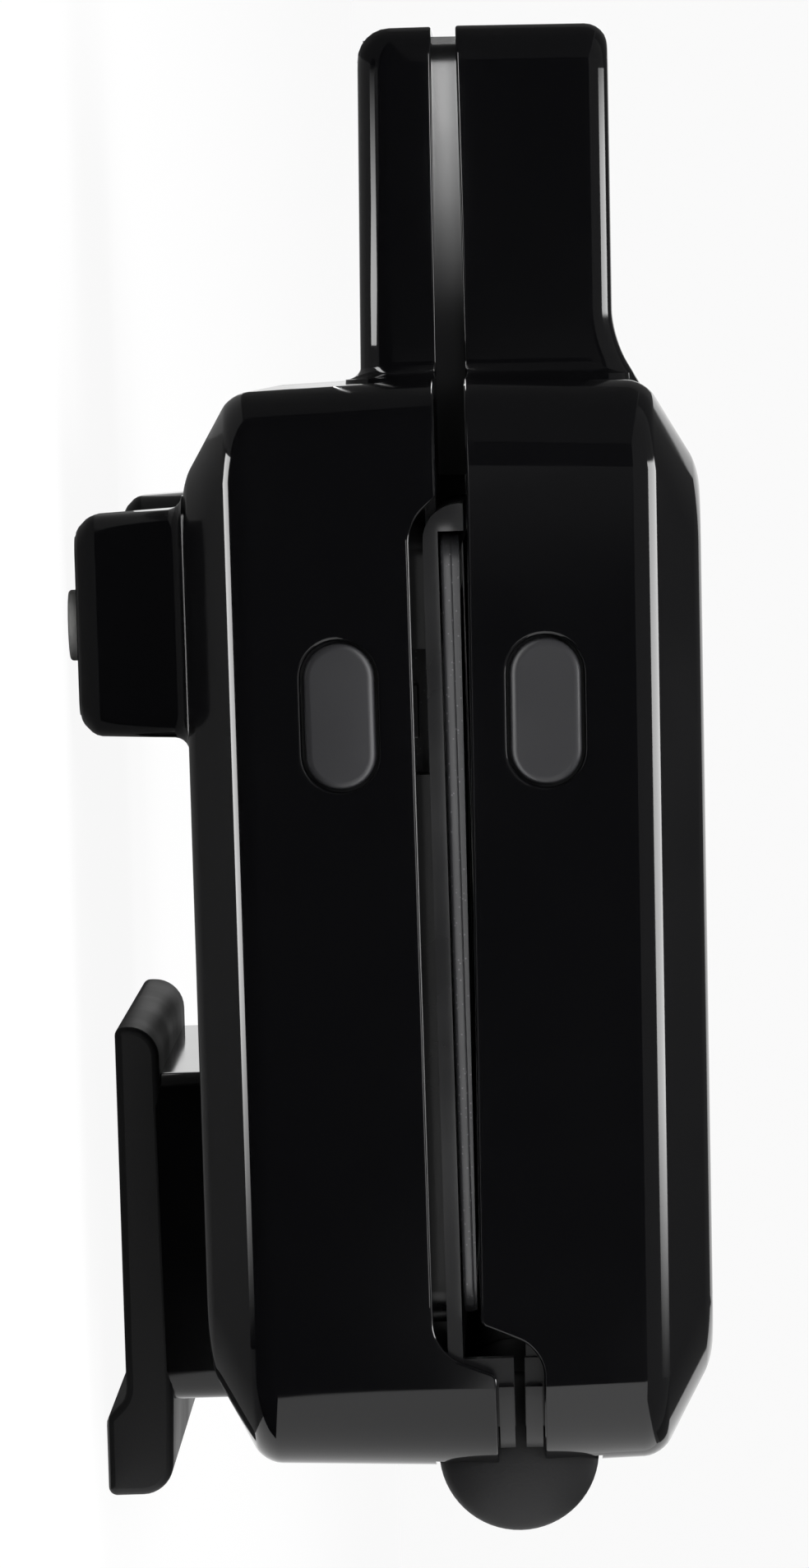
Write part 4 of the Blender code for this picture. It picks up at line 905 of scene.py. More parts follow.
@dataclass
class Shells:
    """The two glossy shells with their handle halves, and the moulded front feet."""

    side_start: float = 0.0194
    side_slant: float = 0.0045
    side_end: float = 0.0207
    rear_end: float = 0.0167
    step_start: float = 0.0252
    step_end: float = 0.0209
    seam_round: float = 0.007
    step_round: float = 0.0065
    seam_soft: float = 0.0015
    seam_edge: float = 0.0004
    handle_half: float = 0.058
    handle_below: float = 0.0125
    handle_above: float = 0.0252
    tip_rise: float = 0.0010
    tip_drop: float = 0.0012
    tip_corner: float = 0.008
    handle_edge: float = 0.004
    under_edge: float = 0.0055
    root: float = 0.006
    root_fillet: float = 0.0028
    under_lift: float = 0.0006
    under_sag: float = 0.0008
    flare_back: float = 0.0062
    flare_slope: float = math.radians(30.0)
    flare_round: float = 0.018
    foot_x: float = 0.088
    foot_back: float = 0.0399
    foot_size: Point = (0.024, 0.0385)
    foot_low: float = 0.0016
    foot_draft: float = math.radians(2.7)
    foot_chamfer: float = 0.0018
    foot_soft: float = 0.0009
    foot_round: float = 0.0032
    foot_flare: float = 0.0007
    outer_facing: float = 0.5
    side_facing: float = 0.3
    foot_turns: Point = (15.0, 30.0)
    foot_slope: float = 45.0
    flare_turns: Point = (78.0, 62.0, 46.0, 30.0, 14.0)
    pad_radius: float = 0.006
    pad_seat: float = 0.0014
    button_size: Point = (0.0242, 0.0118)
    latch_half: float = 0.017
    latch_recess: float = 0.0043
    latch_block: float = 0.007
    latch_pivot: Point = (0.0021, 0.0165)
    latch_barrel: float = 0.0019
    bead: Point = (0.0003, 0.0611, 0.0621)
    hole_edge: float = 0.0005
    button_edge: float = 0.0007

    def tub(self, half: Half, grow: float, past: float, edge: float = 0.0) -> BMesh:
        """Makes a drafted block with a chamfer round its panel.

        Args:
            half: The half that it belongs to.
            grow: How much it is grown on all sides.
            past: How far it runs past the rim.
            edge: The rounding of the edges of the chamfer.

        Returns:
            The block.
        """
        away = -half.inward
        panel = half.panel - away * grow
        chamfer_z = panel + away * (BODY.chamfer_rise + grow / 2)
        rim = half.rim + away * past
        side = grow + math.tan(BODY.draft) * past
        reach = Vector((BODY.width / 2 + side, BODY.depth / 2 + side))
        low, high = sorted((rim, chamfer_z))
        corners = (-reach.x, BODY.mid_y - reach.y, low), (reach.x, BODY.mid_y + reach.y, high)
        bm = rounded_box(*corners, BODY.corner + grow, steps=CORNER_STEPS)
        taper = math.tan(BODY.draft) * abs(rim - chamfer_z)
        end = min(bm.faces, key=lambda face: abs(face.calc_center_median().z - chamfer_z) - abs(face.normal.z))
        self.shrink(bm, end.verts, reach, taper)
        drawn = bmesh.ops.extrude_face_region(bm, geom=[end])
        bmesh.ops.delete(bm, geom=[end], context="FACES_ONLY")
        verts = [item for item in drawn["geom"] if isinstance(item, BMVert)]
        bmesh.ops.translate(bm, verts=verts, vec=(0.0, 0.0, panel - chamfer_z))
        self.shrink(bm, verts, reach - Vector((taper, taper)), BODY.chamfer_run)
        if edge:
            levels = (chamfer_z, panel)
            rings = [e for e in bm.edges if any(all(abs(v.co.z - z) < TOUCH for v in e.verts) for z in levels)]
            soften(bm, rings, edge, EDGE_STEPS + 1)
        return bm

    def shrink(self, bm: BMesh, verts: Iterable[BMVert], reach: Vector, inset: float) -> None:
        """Moves a ring of corners in towards the middle of the shells.

        Args:
            bm: The bmesh.
            verts: The ring.
            reach: Its half width and half depth.
            inset: How far it moves in.
        """
        scale = Matrix.Diagonal(((reach.x - inset) / reach.x, (reach.y - inset) / reach.y, 1.0, 1.0))
        middle = Matrix.Translation((0.0, BODY.mid_y, 0.0))
        bmesh.ops.transform(bm, matrix=middle @ scale @ middle.inverted(), verts=list(verts))

    def handle(self, half: Half, grow: float, root: float) -> BMesh:
        """Makes one half of the handle, with soft outer edges and, on the lid, a flare up to the chamfer.

        Args:
            half: The half that it belongs to.
            grow: How much it is grown on all sides.
            root: How far back it runs.

        Returns:
            The handle half.
        """
        tip, gap_z = BODY.tip_y - grow, half.rim - half.inward * PAST
        if half is LOWER:
            outer = BODY.rim_z - self.handle_below - grow
            tip_z, root_z = outer + self.under_lift, outer - self.under_sag
            corners = [(tip, gap_z), (tip, tip_z), (root, root_z), (root, gap_z)]
        else:
            outer = BODY.lid_z + self.handle_above + grow
            bend = BODY.front_y - self.flare_back
            rise = math.tan(self.flare_slope) * (root - bend)
            corners = [(tip, gap_z), (tip, outer), (bend, outer, self.flare_round), (root, outer + rise), (root, gap_z)]
        reach = self.handle_half + grow
        bm = outline(corners, Axis.X, (-reach, reach))
        tips = [e for e in along(bm, Axis.Z) if e.verts[0].co.y < BODY.tip_y + PAST]
        soften(bm, tips, self.tip_corner + grow, ARC_STEPS)
        if grow == 0.0:
            bm.normal_update()
            soften(bm, [e for e in bm.edges if self.outer_edge(e, half)], self.edge_round(half), EDGE_STEPS + 1)
        return bm

    def edge_round(self, half: Half) -> float:
        """Returns the rounding of the outer edges of a handle half."""
        return self.under_edge if half is LOWER else self.handle_edge

    def root_skirt(self, half: Half) -> BMesh:
        """Makes the hollow fillet that a handle half meets the front wall with, drawn back from the handle's section.

        Args:
            half: The half.

        Returns:
            The fillet.
        """
        gap_z = half.rim - half.inward * PAST
        under = BODY.rim_z - self.handle_below - self.under_sag / 2
        outer = under if half is LOWER else BODY.lid_z + self.handle_above
        reach, high, radius = self.handle_half, abs(outer - gap_z), self.root_fillet
        bm = box((-reach, 0.0, -SINK), (reach, high, 0.0))
        soften(bm, [e for e in along(bm, Axis.Z) if e.verts[0].co.y > SINK], self.edge_round(half), EDGE_STEPS + 1)
        face = max(bm.faces, key=lambda face: face.calc_center_median().z)
        bend = quarter()
        for a, b in zip(bend, bend[1:]):
            rise, spread = radius * (math.sin(b) - math.sin(a)), radius * (math.cos(a) - math.cos(b))
            face = self.raise_face(bm, face, rise, spread, Matrix.Identity(4))
        self.raise_face(bm, face, SINK, HAIR, Matrix.Identity(4))
        axes = Matrix(((1, 0, 0, 0), (0, 0, 1, BODY.front_y - radius), (0, half.inward, 0, gap_z), (0, 0, 0, 1)))
        bm.transform(axes)
        return face_out(bm)

    def outer_edge(self, edge: BMEdge, half: Half) -> bool:
        """Tells whether an edge of a handle half lies between its outer face and its sides or tip.

        Args:
            edge: The edge.
            half: The half.

        Returns:
            Whether it does.
        """
        outward = [face.normal.z * half.inward for face in edge.link_faces]
        back = any(face.normal.y > PARALLEL for face in edge.link_faces)
        return max(outward) > self.outer_facing and min(outward) < self.side_facing and not back

    def seam(self, half: Half) -> BMesh:
        """Makes everything beyond a shell's rim.

        Args:
            half: The half.

        Returns:
            The solid to cut away.
        """
        tip, front, rear = BODY.tip_y - PAST, BODY.front_y, BODY.rear_y
        if half is LOWER:
            corners = [
                (tip, BODY.rim_z + self.tip_rise),
                (front, BODY.rim_z),
                (front + self.side_start, BODY.rim_z),
                (front + self.side_start + self.side_slant, BODY.side_z, self.seam_round),
                (rear - self.side_end, BODY.side_z, self.seam_round),
                (rear - self.rear_end, BODY.rear_z, self.seam_soft),
                (rear + PAST, BODY.rear_z),
                (rear + PAST, BODY.top_z),
                (tip, BODY.top_z),
            ]
        else:
            corners = [
                (tip, BODY.lid_z - self.tip_drop),
                (front + self.side_start, BODY.lid_z),
                (rear - self.step_start, BODY.lid_z, self.seam_soft),
                (rear - self.step_end, BODY.lid_rear_z, self.step_round),
                (rear + PAST, BODY.lid_rear_z),
                (rear + PAST, BODY.panel_z),
                (tip, BODY.panel_z),
            ]
        reach = BODY.width / 2 + PAST
        return outline(corners, Axis.X, (-reach, reach))

    def foot(self, side: int) -> BMesh:
        """Makes one moulded foot, drawn up from its underside along its chamfer, its drafted wall and its flared root.

        Args:
            side: -1 for the left foot and 1 for the right one.

        Returns:
            The foot.
        """
        turn = [math.radians(angle) for angle in self.foot_turns]
        steps = [(self.foot_soft, angle) for angle in turn]
        steps.append((self.foot_chamfer, math.radians(self.foot_slope)))
        steps += [(self.foot_soft, math.pi / 2 - angle) for angle in reversed(turn)]
        flare = [(self.foot_flare, math.radians(angle)) for angle in self.flare_turns]
        height = BODY.panel_z - self.foot_low - HAIR
        wall = height - sum(length * math.sin(angle) for length, angle in steps + flare)
        steps.append((wall, math.pi / 2 - self.foot_draft))
        inset = sum(length * math.cos(angle) for length, angle in steps)
        x, y = side * self.foot_x, BODY.front_y + self.foot_back
        a, b = self.foot_size[0] / 2 - inset, self.foot_size[1] / 2 - inset
        low = self.foot_low
        bm = rounded_box((x - a, y - b, low), (x + a, y + b, low + HAIR), self.foot_round)
        top = max(bm.faces, key=lambda face: face.calc_center_median().z)
        centre = Matrix.Translation((x, y, 0.0))
        for length, angle in [*steps, *flare, (SINK, math.pi / 2)]:
            top = self.raise_face(bm, top, length * math.sin(angle), length * math.cos(angle), centre)
        return bm

    def raise_face(self, bm: BMesh, face: BMFace, rise: float, spread: float, centre: Matrix) -> BMFace:
        """Draws a level face up and spreads it.

        Args:
            bm: The bmesh.
            face: The face.
            rise: How far it goes up.
            spread: How far its sides move out.
            centre: The middle that they move out from.

        Returns:
            The new face.
        """
        drawn = bmesh.ops.extrude_face_region(bm, geom=[face])["geom"]
        bmesh.ops.delete(bm, geom=[face], context="FACES_ONLY")
        verts = [item for item in drawn if isinstance(item, BMVert)]
        local = [centre.inverted() @ v.co for v in verts]
        a, b = max(p.x for p in local), max(p.y for p in local)
        grow = Matrix.Diagonal((1.0 + spread / a, 1.0 + spread / b, 1.0, 1.0))
        lift = Matrix.Translation((0.0, 0.0, rise))
        bmesh.ops.transform(bm, matrix=lift @ centre @ grow @ centre.inverted(), verts=verts)
        return next(item for item in drawn if isinstance(item, BMFace))

    def relief(self) -> BMesh:
        """Makes the space that the hinge barrel and its caps turn in."""
        length = 2 * (BODY.barrel_half + HingeSet.dome + SINK)
        return cylinder((0.0, BODY.hinge_y, BODY.hinge_z), BODY.barrel_radius + FIT, length, Axis.X, 2 * ROUND_STEPS)

    def start(self, half: Half) -> Carving:
        """Makes a shell up to the cuts that both halves share.

        Args:
            half: The half.

        Returns:
            The shell so far.
        """
        shell = Carving(marked(self.tub(half, 0.0, SINK, BODY.edge), Mark.SKIN))
        shell.join(self.handle(half, 0.0, BODY.front_y + self.root), mark=Mark.HANDLE)
        shell.join(self.root_skirt(half), mark=Mark.HANDLE)
        if half is LOWER:
            shell.join(merged(self.foot(-1), self.foot(1)), mark=Mark.FOOT)
        shell.cut(self.tub(half, -BODY.wall, PAST), mark=Mark.INSIDE)
        shell.cut(self.handle(half, -BODY.wall, BODY.front_y + 2 * self.root), mark=Mark.INSIDE)
        return shell

    def close(self, half: Half, shell: Carving) -> None:
        """Cuts a shell's rim and holes and rounds their edges.

        Args:
            half: The half.
            shell: The shell.
        """
        shell.cut(self.seam(half), mark=Mark.SEAM)
        length, height = (size + 2 * SLIDE for size in self.button_size)
        span = (BODY.width / 2 - PAST, BODY.width / 2 + PAST)
        shell.cut(oval(RING.button_y, half.button_z, length, height, span), mark=Mark.BUTTON)
        shell.cut(self.relief(), mark=Mark.INSIDE)
        shell.tidy()
        skin = [Mark.SKIN, Mark.HANDLE, Mark.FOOT]
        soften(shell.bm, shell.between(skin, [Mark.SEAM]), self.seam_edge, 3)
        soften(shell.bm, shell.between(skin, [Mark.HOLE]), self.hole_edge, 3, clamp=True)
        soften(shell.bm, shell.between(skin, [Mark.BUTTON]), self.button_edge, EDGE_STEPS, clamp=True)

    def build_base(self) -> None:
        """Builds the base shell and dresses it."""
        shell = self.start(LOWER)
        under, gap_z = BODY.rim_z - self.handle_below, BODY.rim_z + SINK + self.tip_rise
        block, slot = self.latch_half + BODY.wall, self.latch_half + SLIDE
        tip = BODY.tip_y
        shell.join(box((-block, tip + SINK, under + SINK), (block, tip + self.latch_block, gap_z)), mark=Mark.INSIDE)
        shell.cut(box((-slot, tip - PAST, under - PAST), (slot, tip + self.latch_recess, gap_z + PAST)))
        foot_y = BODY.front_y + self.foot_back
        length = 2 * (self.foot_low + self.pad_seat)
        pads = (cylinder((s * self.foot_x, foot_y, 0.0), self.pad_radius + CLEAR, length, Axis.Z) for s in (-1, 1))
        bushing = Bushing().hole()
        shell.cut(merged(bushing, *pads))
        self.close(LOWER, shell)
        proud, low, high = self.bead
        back = tip + self.latch_recess
        bead = self.latch_half - SLIDE
        shell.join(box((-bead, back - proud, low), (bead, back + SINK, high)), mark=Mark.INSIDE)
        publish("base_shell_gloss", shell.bm, "base_shell")

    def build_lid(self) -> None:
        """Builds the lid shell and dresses it."""
        shell = self.start(UPPER)
        gap_z = BODY.lid_z - SINK - self.tip_drop
        block, slot = self.latch_half + BODY.wall, self.latch_half + SLIDE
        tip = BODY.tip_y
        over = BODY.lid_z + self.handle_above - SINK
        shell.join(box((-block, tip + SINK, gap_z), (block, tip + self.latch_block, over)), mark=Mark.INSIDE)
        top = BODY.lid_z + self.latch_pivot[1] + 2 * self.latch_barrel
        shell.cut(box((-slot, tip - PAST, gap_z - PAST), (slot, tip + self.latch_recess, top)))
        lamps = LampSet()
        lenses = (cylinder((x, y, BODY.top_z), lamps.radius + CLEAR, PAST, Axis.Z) for x, y in lamps.places)
        shell.cut(merged(*lenses))
        self.close(UPPER, shell)
        publish("lid_shell_gloss", shell.bm, "lid_shell", UPPER.turn)


@dataclass
class Frames:
    """The two satin frames that carry the plates: lips, decks, handle fillers, rear strips and catch seats."""

    lip_inset: float = 0.0033
    lip_thick: float = 0.0025
    lip_start: float = 0.0208
    lip_round: float = 0.006
    wall_rise: float = 0.0043
    pan_gap: float = 0.001
    deck_thick: float = 0.002
    deck_end: float = 0.0179
    filler_rise: float = 0.0056
    filler_end: float = 0.017
    tongue_half: float = 0.0549
    tongue_corner: float = 0.0049
    collar_wall: float = 0.003
    collar_rise: float = 0.0084
    collar_drop: float = 0.0032
    collar_height: float = 0.005
    fascia_inset: float = 0.0016
    notch: Point = (0.0201, 0.0076)
    heater_gap: float = 0.0177
    screw_radius: float = 0.0015
    head_radius: float = 0.003
    head_high: float = 0.0018
    ear_in: float = 0.0105
    ear_width: float = 0.003
    ear_reach: float = 0.0032
    pivot_depth: float = 0.0088
    pin_hole: float = 0.00125
    keeper: Span = (0.0041, 0.0061)
    keeper_reach: float = 0.1015
    keeper_half: float = 0.0045
    catch_x: float = 0.107
    edge: float = 0.0003
    front_rib: Span = (-0.054, 0.030)
    rear_rib: Span = (0.060, 0.107)
    rib_low: float = 0.0095

    @property
    def lip_half(self) -> float:
        """Returns the half width of the lip."""
        return BODY.width / 2 - self.lip_inset

    @property
    def lip_rear(self) -> float:
        """Returns where the lip ends, in front of the hinge barrel."""
        return BODY.hinge_y - BODY.barrel_radius - SINK

    def deck(self, rear: float, z_span: Span) -> BMesh:
        """Makes the deck, which follows the shell's front wall.

        Args:
            rear: Where it ends on Y.
            z_span: Its lower and upper faces.

        Returns:
            The deck.
        """
        front = BODY.front_y + BODY.wall + 2 * FIT
        corner, half = BODY.corner - self.lip_inset, self.lip_half
        return outline([(-half, front, corner), (half, front, corner), (half, rear), (-half, rear)], Axis.Z, z_span)

    def filler(self, rear: float, z_span: Span) -> BMesh:
        """Makes a slab that fills the handle between its side walls.

        Args:
            rear: Where it ends on Y.
            z_span: Its lower and upper faces.

        Returns:
            The slab.
        """
        front = BODY.tip_y + BODY.wall + FIT
        corner, half = self.tongue_corner, self.tongue_half
        return outline([(-half, front, corner), (half, front, corner), (half, rear), (-half, rear)], Axis.Z, z_span)

    def latch_notch(self, low: float, high: float) -> BMesh:
        """Makes the notch in a filler round the latch."""
        half, reach = self.notch
        return box((-half, BODY.tip_y, low - PAST), (half, BODY.tip_y + reach, high + PAST))

    @property
    def corner_centre(self) -> Vector:
        """Returns the middle of the right rear corner."""
        return Vector((BODY.width / 2 - BODY.corner, BODY.rear_y - BODY.corner, 0.0))

    @property
    def collar_out(self) -> float:
        """Returns the outer radius of the rear collars."""
        return self.lip_half - FIT - self.corner_centre.x

    def bent(self, inner: float, outer: float, z_span: Span) -> BMesh:
        """Bends a band round the right rear corner, from the side wall to the hinge cap.

        Args:
            inner: Its inner radius.
            outer: Its outer radius.
            z_span: Its lower and upper edges.

        Returns:
            The band.
        """
        centre = self.corner_centre
        end_x = BODY.barrel_half + HingeSet.dome + SINK + FIT - centre.x
        bm = bmesh.new()
        low, high = z_span
        corners = [(inner, low), (outer, low), (outer, high), (inner, high)]
        face = bm.faces.new([bm.verts.new((centre.x + a, centre.y, z)) for a, z in corners])
        bmesh.ops.spin(
            bm,
            geom=[face],
            cent=centre,
            axis=(0.0, 0.0, 1.0),
            angle=math.acos(end_x / inner),
            steps=ARC_STEPS,
            use_merge=False,
        )
        return bm

    def collar(self, side: int, z_span: Span) -> BMesh:
        """Makes the strip that follows a rear corner of the shell from the inside.

        Args:
            side: -1 for the left corner and 1 for the right one.
            z_span: Its lower and upper edges.

        Returns:
            The strip.
        """
        bm = self.bent(self.collar_out - self.collar_wall, self.collar_out, z_span)
        start, centre_y = self.lip_rear - BODY.wall, self.corner_centre.y
        ends = [f for f in bm.faces if all(abs(v.co.y - centre_y) < TOUCH for v in f.verts)]
        drawn = bmesh.ops.extrude_face_region(bm, geom=ends)["geom"]
        bmesh.ops.delete(bm, geom=ends, context="FACES_ONLY")
        moved = [item for item in drawn if isinstance(item, BMVert)]
        bmesh.ops.translate(bm, verts=moved, vec=(0.0, start - centre_y, 0.0))
        bm.transform(Matrix.Diagonal((side, 1.0, 1.0, 1.0)))
        return bm

    def fascia(self, side: int, z_span: Span) -> BMesh:
        """Makes the band in front of a collar that shows between the shells at a rear corner.

        Args:
            side: -1 for the left corner and 1 for the right one.
            z_span: Its lower and upper edges.

        Returns:
            The band.
        """
        bm = self.bent(self.collar_out - CLEAR, BODY.corner - self.fascia_inset, z_span)
        bm.transform(Matrix.Diagonal((side, 1.0, 1.0, 1.0)))
        return face_out(bm)

    def bores(self, half: Half, radius: float, depths: Span) -> BMesh:
        """Makes the bores of the frame screws between two depths."""
        length, middle = depths[1] - depths[0], half.at(sum(depths) / 2)
        return merged(*(cylinder((x, y, middle), radius, length, Axis.Z, PIN_STEPS) for x, y in RING.screws))

    def ring(self, half: Half, work: Carving) -> None:
        """Adds the skirt, opens it for the plate and bores it for the screws.

        Args:
            half: The half.
            work: The frame so far.
        """

        def block(x: float, y_span: Span, depths: Span) -> BMesh:
            """Makes a block with rounded corners between two depths."""
            low, high = sorted(half.at(depth) for depth in depths)
            return rounded_box((-x, y_span[0], low), (x, y_span[1], high), RING.corner)

        (pan_front, pan_rear), deep = RING.pan_y, RING.skirt_depth
        work.join(block(RING.skirt_out, RING.skirt_y, (self.lip_thick / 2, deep)))
        gap = self.pan_gap
        work.cut(block(RING.pan_half + gap, (pan_front - gap, pan_rear + gap), (-PAST, deep + PAST)))
        gap = RING.skirt_gap
        work.cut(block(RING.skirt_in, (pan_front - gap, pan_rear + gap), (self.lip_thick, deep + PAST)))
        depths = (RING.pan_depth - SLIDE, deep + PAST)
        rear = RING.skirt_y[1] + PAST
        work.cut(half.box((-self.heater_gap, self.heater_gap), (pan_rear, rear), depths))
        work.cut(self.bores(half, self.head_radius + CLEAR, (-PAST, self.head_high + CLEAR)))
        work.cut(self.bores(half, self.screw_radius + CLEAR, (0.0, deep + PAST)))

    def catch_seat(self, half: Half, work: Carving) -> None:
        """Opens a frame for its plate catch and adds the ears of its pin and the fixed keeper opposite.

        Args:
            half: The half.
            work: The frame so far.
        """
        y, inner, outer = RING.button_y, self.ear_in, self.ear_in + self.ear_width
        depths = (-PAST, RING.skirt_depth + PAST)
        work.cut(half.box((RING.pan_half, RING.skirt_out + SINK), (y - inner, y + inner), depths))
        x_span = (RING.skirt_in + SLIDE, RING.skirt_out - SLIDE)
        for side in (-1, 1):
            y_span = (y + side * inner, y + side * outer)
            work.join(half.box(x_span, y_span, (self.lip_thick / 2, self.pivot_depth + self.ear_reach)))
        pin = (self.catch_x, y, half.at(self.pivot_depth))
        work.cut(cylinder(pin, self.pin_hole, 2 * outer + PAST, Axis.Y, PIN_STEPS))
        keeper = (-RING.skirt_in - SINK, -self.keeper_reach)
        work.join(half.box(keeper, (y - self.keeper_half, y + self.keeper_half), self.keeper))

    def build_base(self) -> None:
        """Builds the base frame and dresses it."""
        rim, under = BODY.rim_z, LOWER.at(self.lip_thick)
        wall_top, wall_back = rim + self.wall_rise, RING.plate_y[0] - SLIDE
        front = BODY.front_y + self.lip_start
        lip = [
            (front, wall_top),
            (front, under, self.lip_round),
            (self.lip_rear, under),
            (self.lip_rear, rim),
            (wall_back, rim),
            (wall_back, wall_top),
        ]
        work = Carving(outline(lip, Axis.X, (-self.lip_half, self.lip_half)))
        start = BODY.front_y + BODY.wall + 2 * FIT + BODY.corner - self.lip_inset
        reach = RING.skirt_out
        work.join(LOWER.box((-reach, reach), (start, wall_back - SINK), (2 * HAIR, self.deck_thick)))
        work.join(self.deck(BODY.front_y + self.deck_end, (rim - self.deck_thick - HAIR, rim - HAIR)))
        low, top = rim - self.lip_thick, rim + self.filler_rise
        work.join(self.filler(BODY.front_y + PAST, (low, rim - HAIR)))
        work.join(self.filler(BODY.front_y + self.filler_end, (rim - SINK, top)))
        work.cut(self.latch_notch(low, top))
        rib_y = BODY.front_y + self.filler_end - SINK, front + SINK
        work.join(box(*zip(self.front_rib, rib_y, (rim - SINK, wall_top - HAIR))))
        rib_y = RING.skirt_y[1] - SINK, self.lip_rear - SINK
        for side in (-1, 1):
            rib_x = sorted(side * x for x in self.rear_rib)
            work.join(box(*zip(rib_x, rib_y, (rim - self.rib_low, under + SINK))))
            work.join(self.collar(side, (under + HAIR, rim + self.collar_rise)))
            work.join(self.fascia(side, (BODY.rear_z + CLEAR, rim + self.collar_rise - HAIR)))
        self.ring(LOWER, work)
        self.catch_seat(LOWER, work)
        work.tidy()
        publish("base_frame_satin", work.bm, "base_frame", edge=self.edge)

    def build_lid(self) -> None:
        """Builds the lid frame and dresses it."""
        low, high = UPPER.ring, UPPER.at(self.lip_thick)
        work = Carving(self.deck(RING.skirt_y[1], (low, high)))
        work.join(self.filler(BODY.front_y + PAST, (low + HAIR, high - HAIR)))
        work.cut(self.latch_notch(low, high))
        self.ring(UPPER, work)
        self.catch_seat(UPPER, work)
        collar_low = BODY.lid_rear_z - self.collar_drop
        web_y = RING.skirt_y[1] - RING.skirt_wall, self.lip_rear - SINK
        web_z = collar_low + 2 * HAIR, UPPER.at(RING.skirt_depth) - 2 * HAIR
        for side in (-1, 1):
            web_x = sorted(side * x for x in (RING.skirt_in + SLIDE, self.lip_half - self.collar_wall / 2))
            work.join(box(*zip(web_x, web_y, web_z)))
            work.join(self.collar(side, (collar_low, collar_low + self.collar_height)))
            work.join(self.fascia(side, (collar_low + HAIR, BODY.lid_rear_z - CLEAR)))
        work.tidy()
        publish("lid_frame_satin", work.bm, "lid_frame", UPPER.turn, edge=self.edge)


@dataclass
class Plates:
    """The two lift-out plates with their three-cornered pockets."""

    pocket_depth: float = 0.0062
    pocket_wall: float = 0.0045
    pocket_ridge: float = 0.0035
    pocket_round: float = 0.006
    pocket_taper: float = 0.86
    pocket_floor: float = 0.0018
    pocket_rim: float = 0.0007
    ledge_reach: float = 0.0025
    ledge_depths: Span = (0.0064, 0.0082)
    ledge_half: float = 0.009
    pan_edge: float = 0.0015
    rim_edge: float = 0.0006
    bead: Span = (0.0002, 0.0034)
    bead_share: float = 0.5

    def sealing_bead(self, half: Half) -> BMesh:
        """Makes the bead round a plate, which takes up part of the gap that the resting lid leaves.

        Args:
            half: The half.

        Returns:
            The bead.
        """
        face, reach, (front, rear) = half.at(-CLEAR - RING.flange), RING.plate_width / 2, RING.plate_y
        blocks = []
        for inset, deep in zip(self.bead, (SINK / 2, SINK)):
            low = (inset - reach, front + inset, face - deep)
            high = (reach - inset, rear - inset, face + deep)
            blocks.append(rounded_box(low, high, RING.corner - inset))
        ring = Carving(blocks[0])
        ring.cut(blocks[1])
        crest = [v for v in ring.bm.verts if v.co.z > face]
        slope = Matrix.Identity(4)
        slope[2][1] = -self.bead_share * math.tan(BODY.ajar)
        hinge = Matrix.Translation((0.0, BODY.hinge_y, -SINK / 2))
        bmesh.ops.transform(ring.bm, matrix=hinge @ slope @ Matrix.Translation((0.0, -BODY.hinge_y, 0.0)), verts=crest)
        return ring.bm

    def pocket(self, half: Half, corners: Sequence[Point]) -> BMesh:
        """Makes the space of one pocket, with sloping walls and a soft floor edge.

        Args:
            half: The half.
            corners: Its three corners in plan.

        Returns:
            The space.
        """
        face = half.at(-CLEAR - RING.flange - SINK)
        floor = half.at(self.pocket_depth)
        bm = outline([(*corner, self.pocket_round) for corner in corners], Axis.Z, (floor, face))
        middle = Matrix.Translation((*(sum(values) / 3 for values in zip(*corners)), 0.0))
        scale = Matrix.Diagonal((self.pocket_taper, self.pocket_taper, 1.0, 1.0))
        deep = [v for v in bm.verts if abs(v.co.z - floor) < TOUCH]
        bmesh.ops.transform(bm, matrix=middle @ scale @ middle.inverted(), verts=deep)
        soften(bm, [e for e in bm.edges if all(v in deep for v in e.verts)], self.pocket_floor, EDGE_STEPS)
        return bm

    def pockets(self, half: Half) -> BMesh:
        """Makes the spaces of the four pockets.

        Args:
            half: The half.

        Returns:
            The spaces.
        """
        low, high = RING.pan_y[0] + self.pocket_wall, RING.pan_y[1] - self.pocket_wall
        near, far, gap = self.pocket_ridge, RING.pan_half - self.pocket_wall, 2 * self.pocket_ridge
        plans = (
            [(near, low), (far - gap, low), (near, high - gap)],
            [(far, high), (far, low + gap), (near + gap, high)],
        )
        return merged(
            *(self.pocket(half, [(side * x, y) for x, y in plan]) for plan in plans for side in (-1, 1))
        )

    def build(self, half: Half) -> None:
        """Builds one plate and dresses it.

        Args:
            half: The half that it belongs to.
        """
        low, high = sorted(half.at(depth) for depth in (-CLEAR, -CLEAR - RING.flange))
        reach, (front, rear) = RING.plate_width / 2, RING.plate_y
        flange = rounded_box((-reach, front, low), (reach, rear, high), RING.corner)
        soften(flange, [e for e in flange.edges if abs(e.verts[0].co.z - e.verts[1].co.z) < TOUCH], self.rim_edge, 3)
        plate = Carving(flange)
        deep = half.at(RING.pan_depth)
        low, high = sorted((deep, half.at(-CLEAR - RING.flange / 2)))
        reach, (front, rear) = RING.pan_half, RING.pan_y
        pan = rounded_box((-reach, front, low), (reach, rear, high), RING.corner)
        rims = [e for e in pan.edges if all(abs(v.co.z - deep) < TOUCH for v in e.verts)]
        soften(pan, rims, self.pan_edge, 4)
        plate.join(pan)
        y_span = (RING.button_y - self.ledge_half, RING.button_y + self.ledge_half)
        for side in (-1, 1):
            x_span = (side * (RING.pan_half - SINK), side * (RING.pan_half + self.ledge_reach))
            plate.join(half.box(x_span, y_span, self.ledge_depths))
        plate.cut(self.pockets(half))
        if half is LOWER:
            plate.join(self.sealing_bead(half))
        plate.tidy()
        soften(plate.bm, plate.between([Mark.SKIN], [Mark.HOLE]), self.pocket_rim, 3, clamp=True)
        publish(f"{half.name}_plate_coated", plate.bm, f"{half.name}_plate", half.turn)


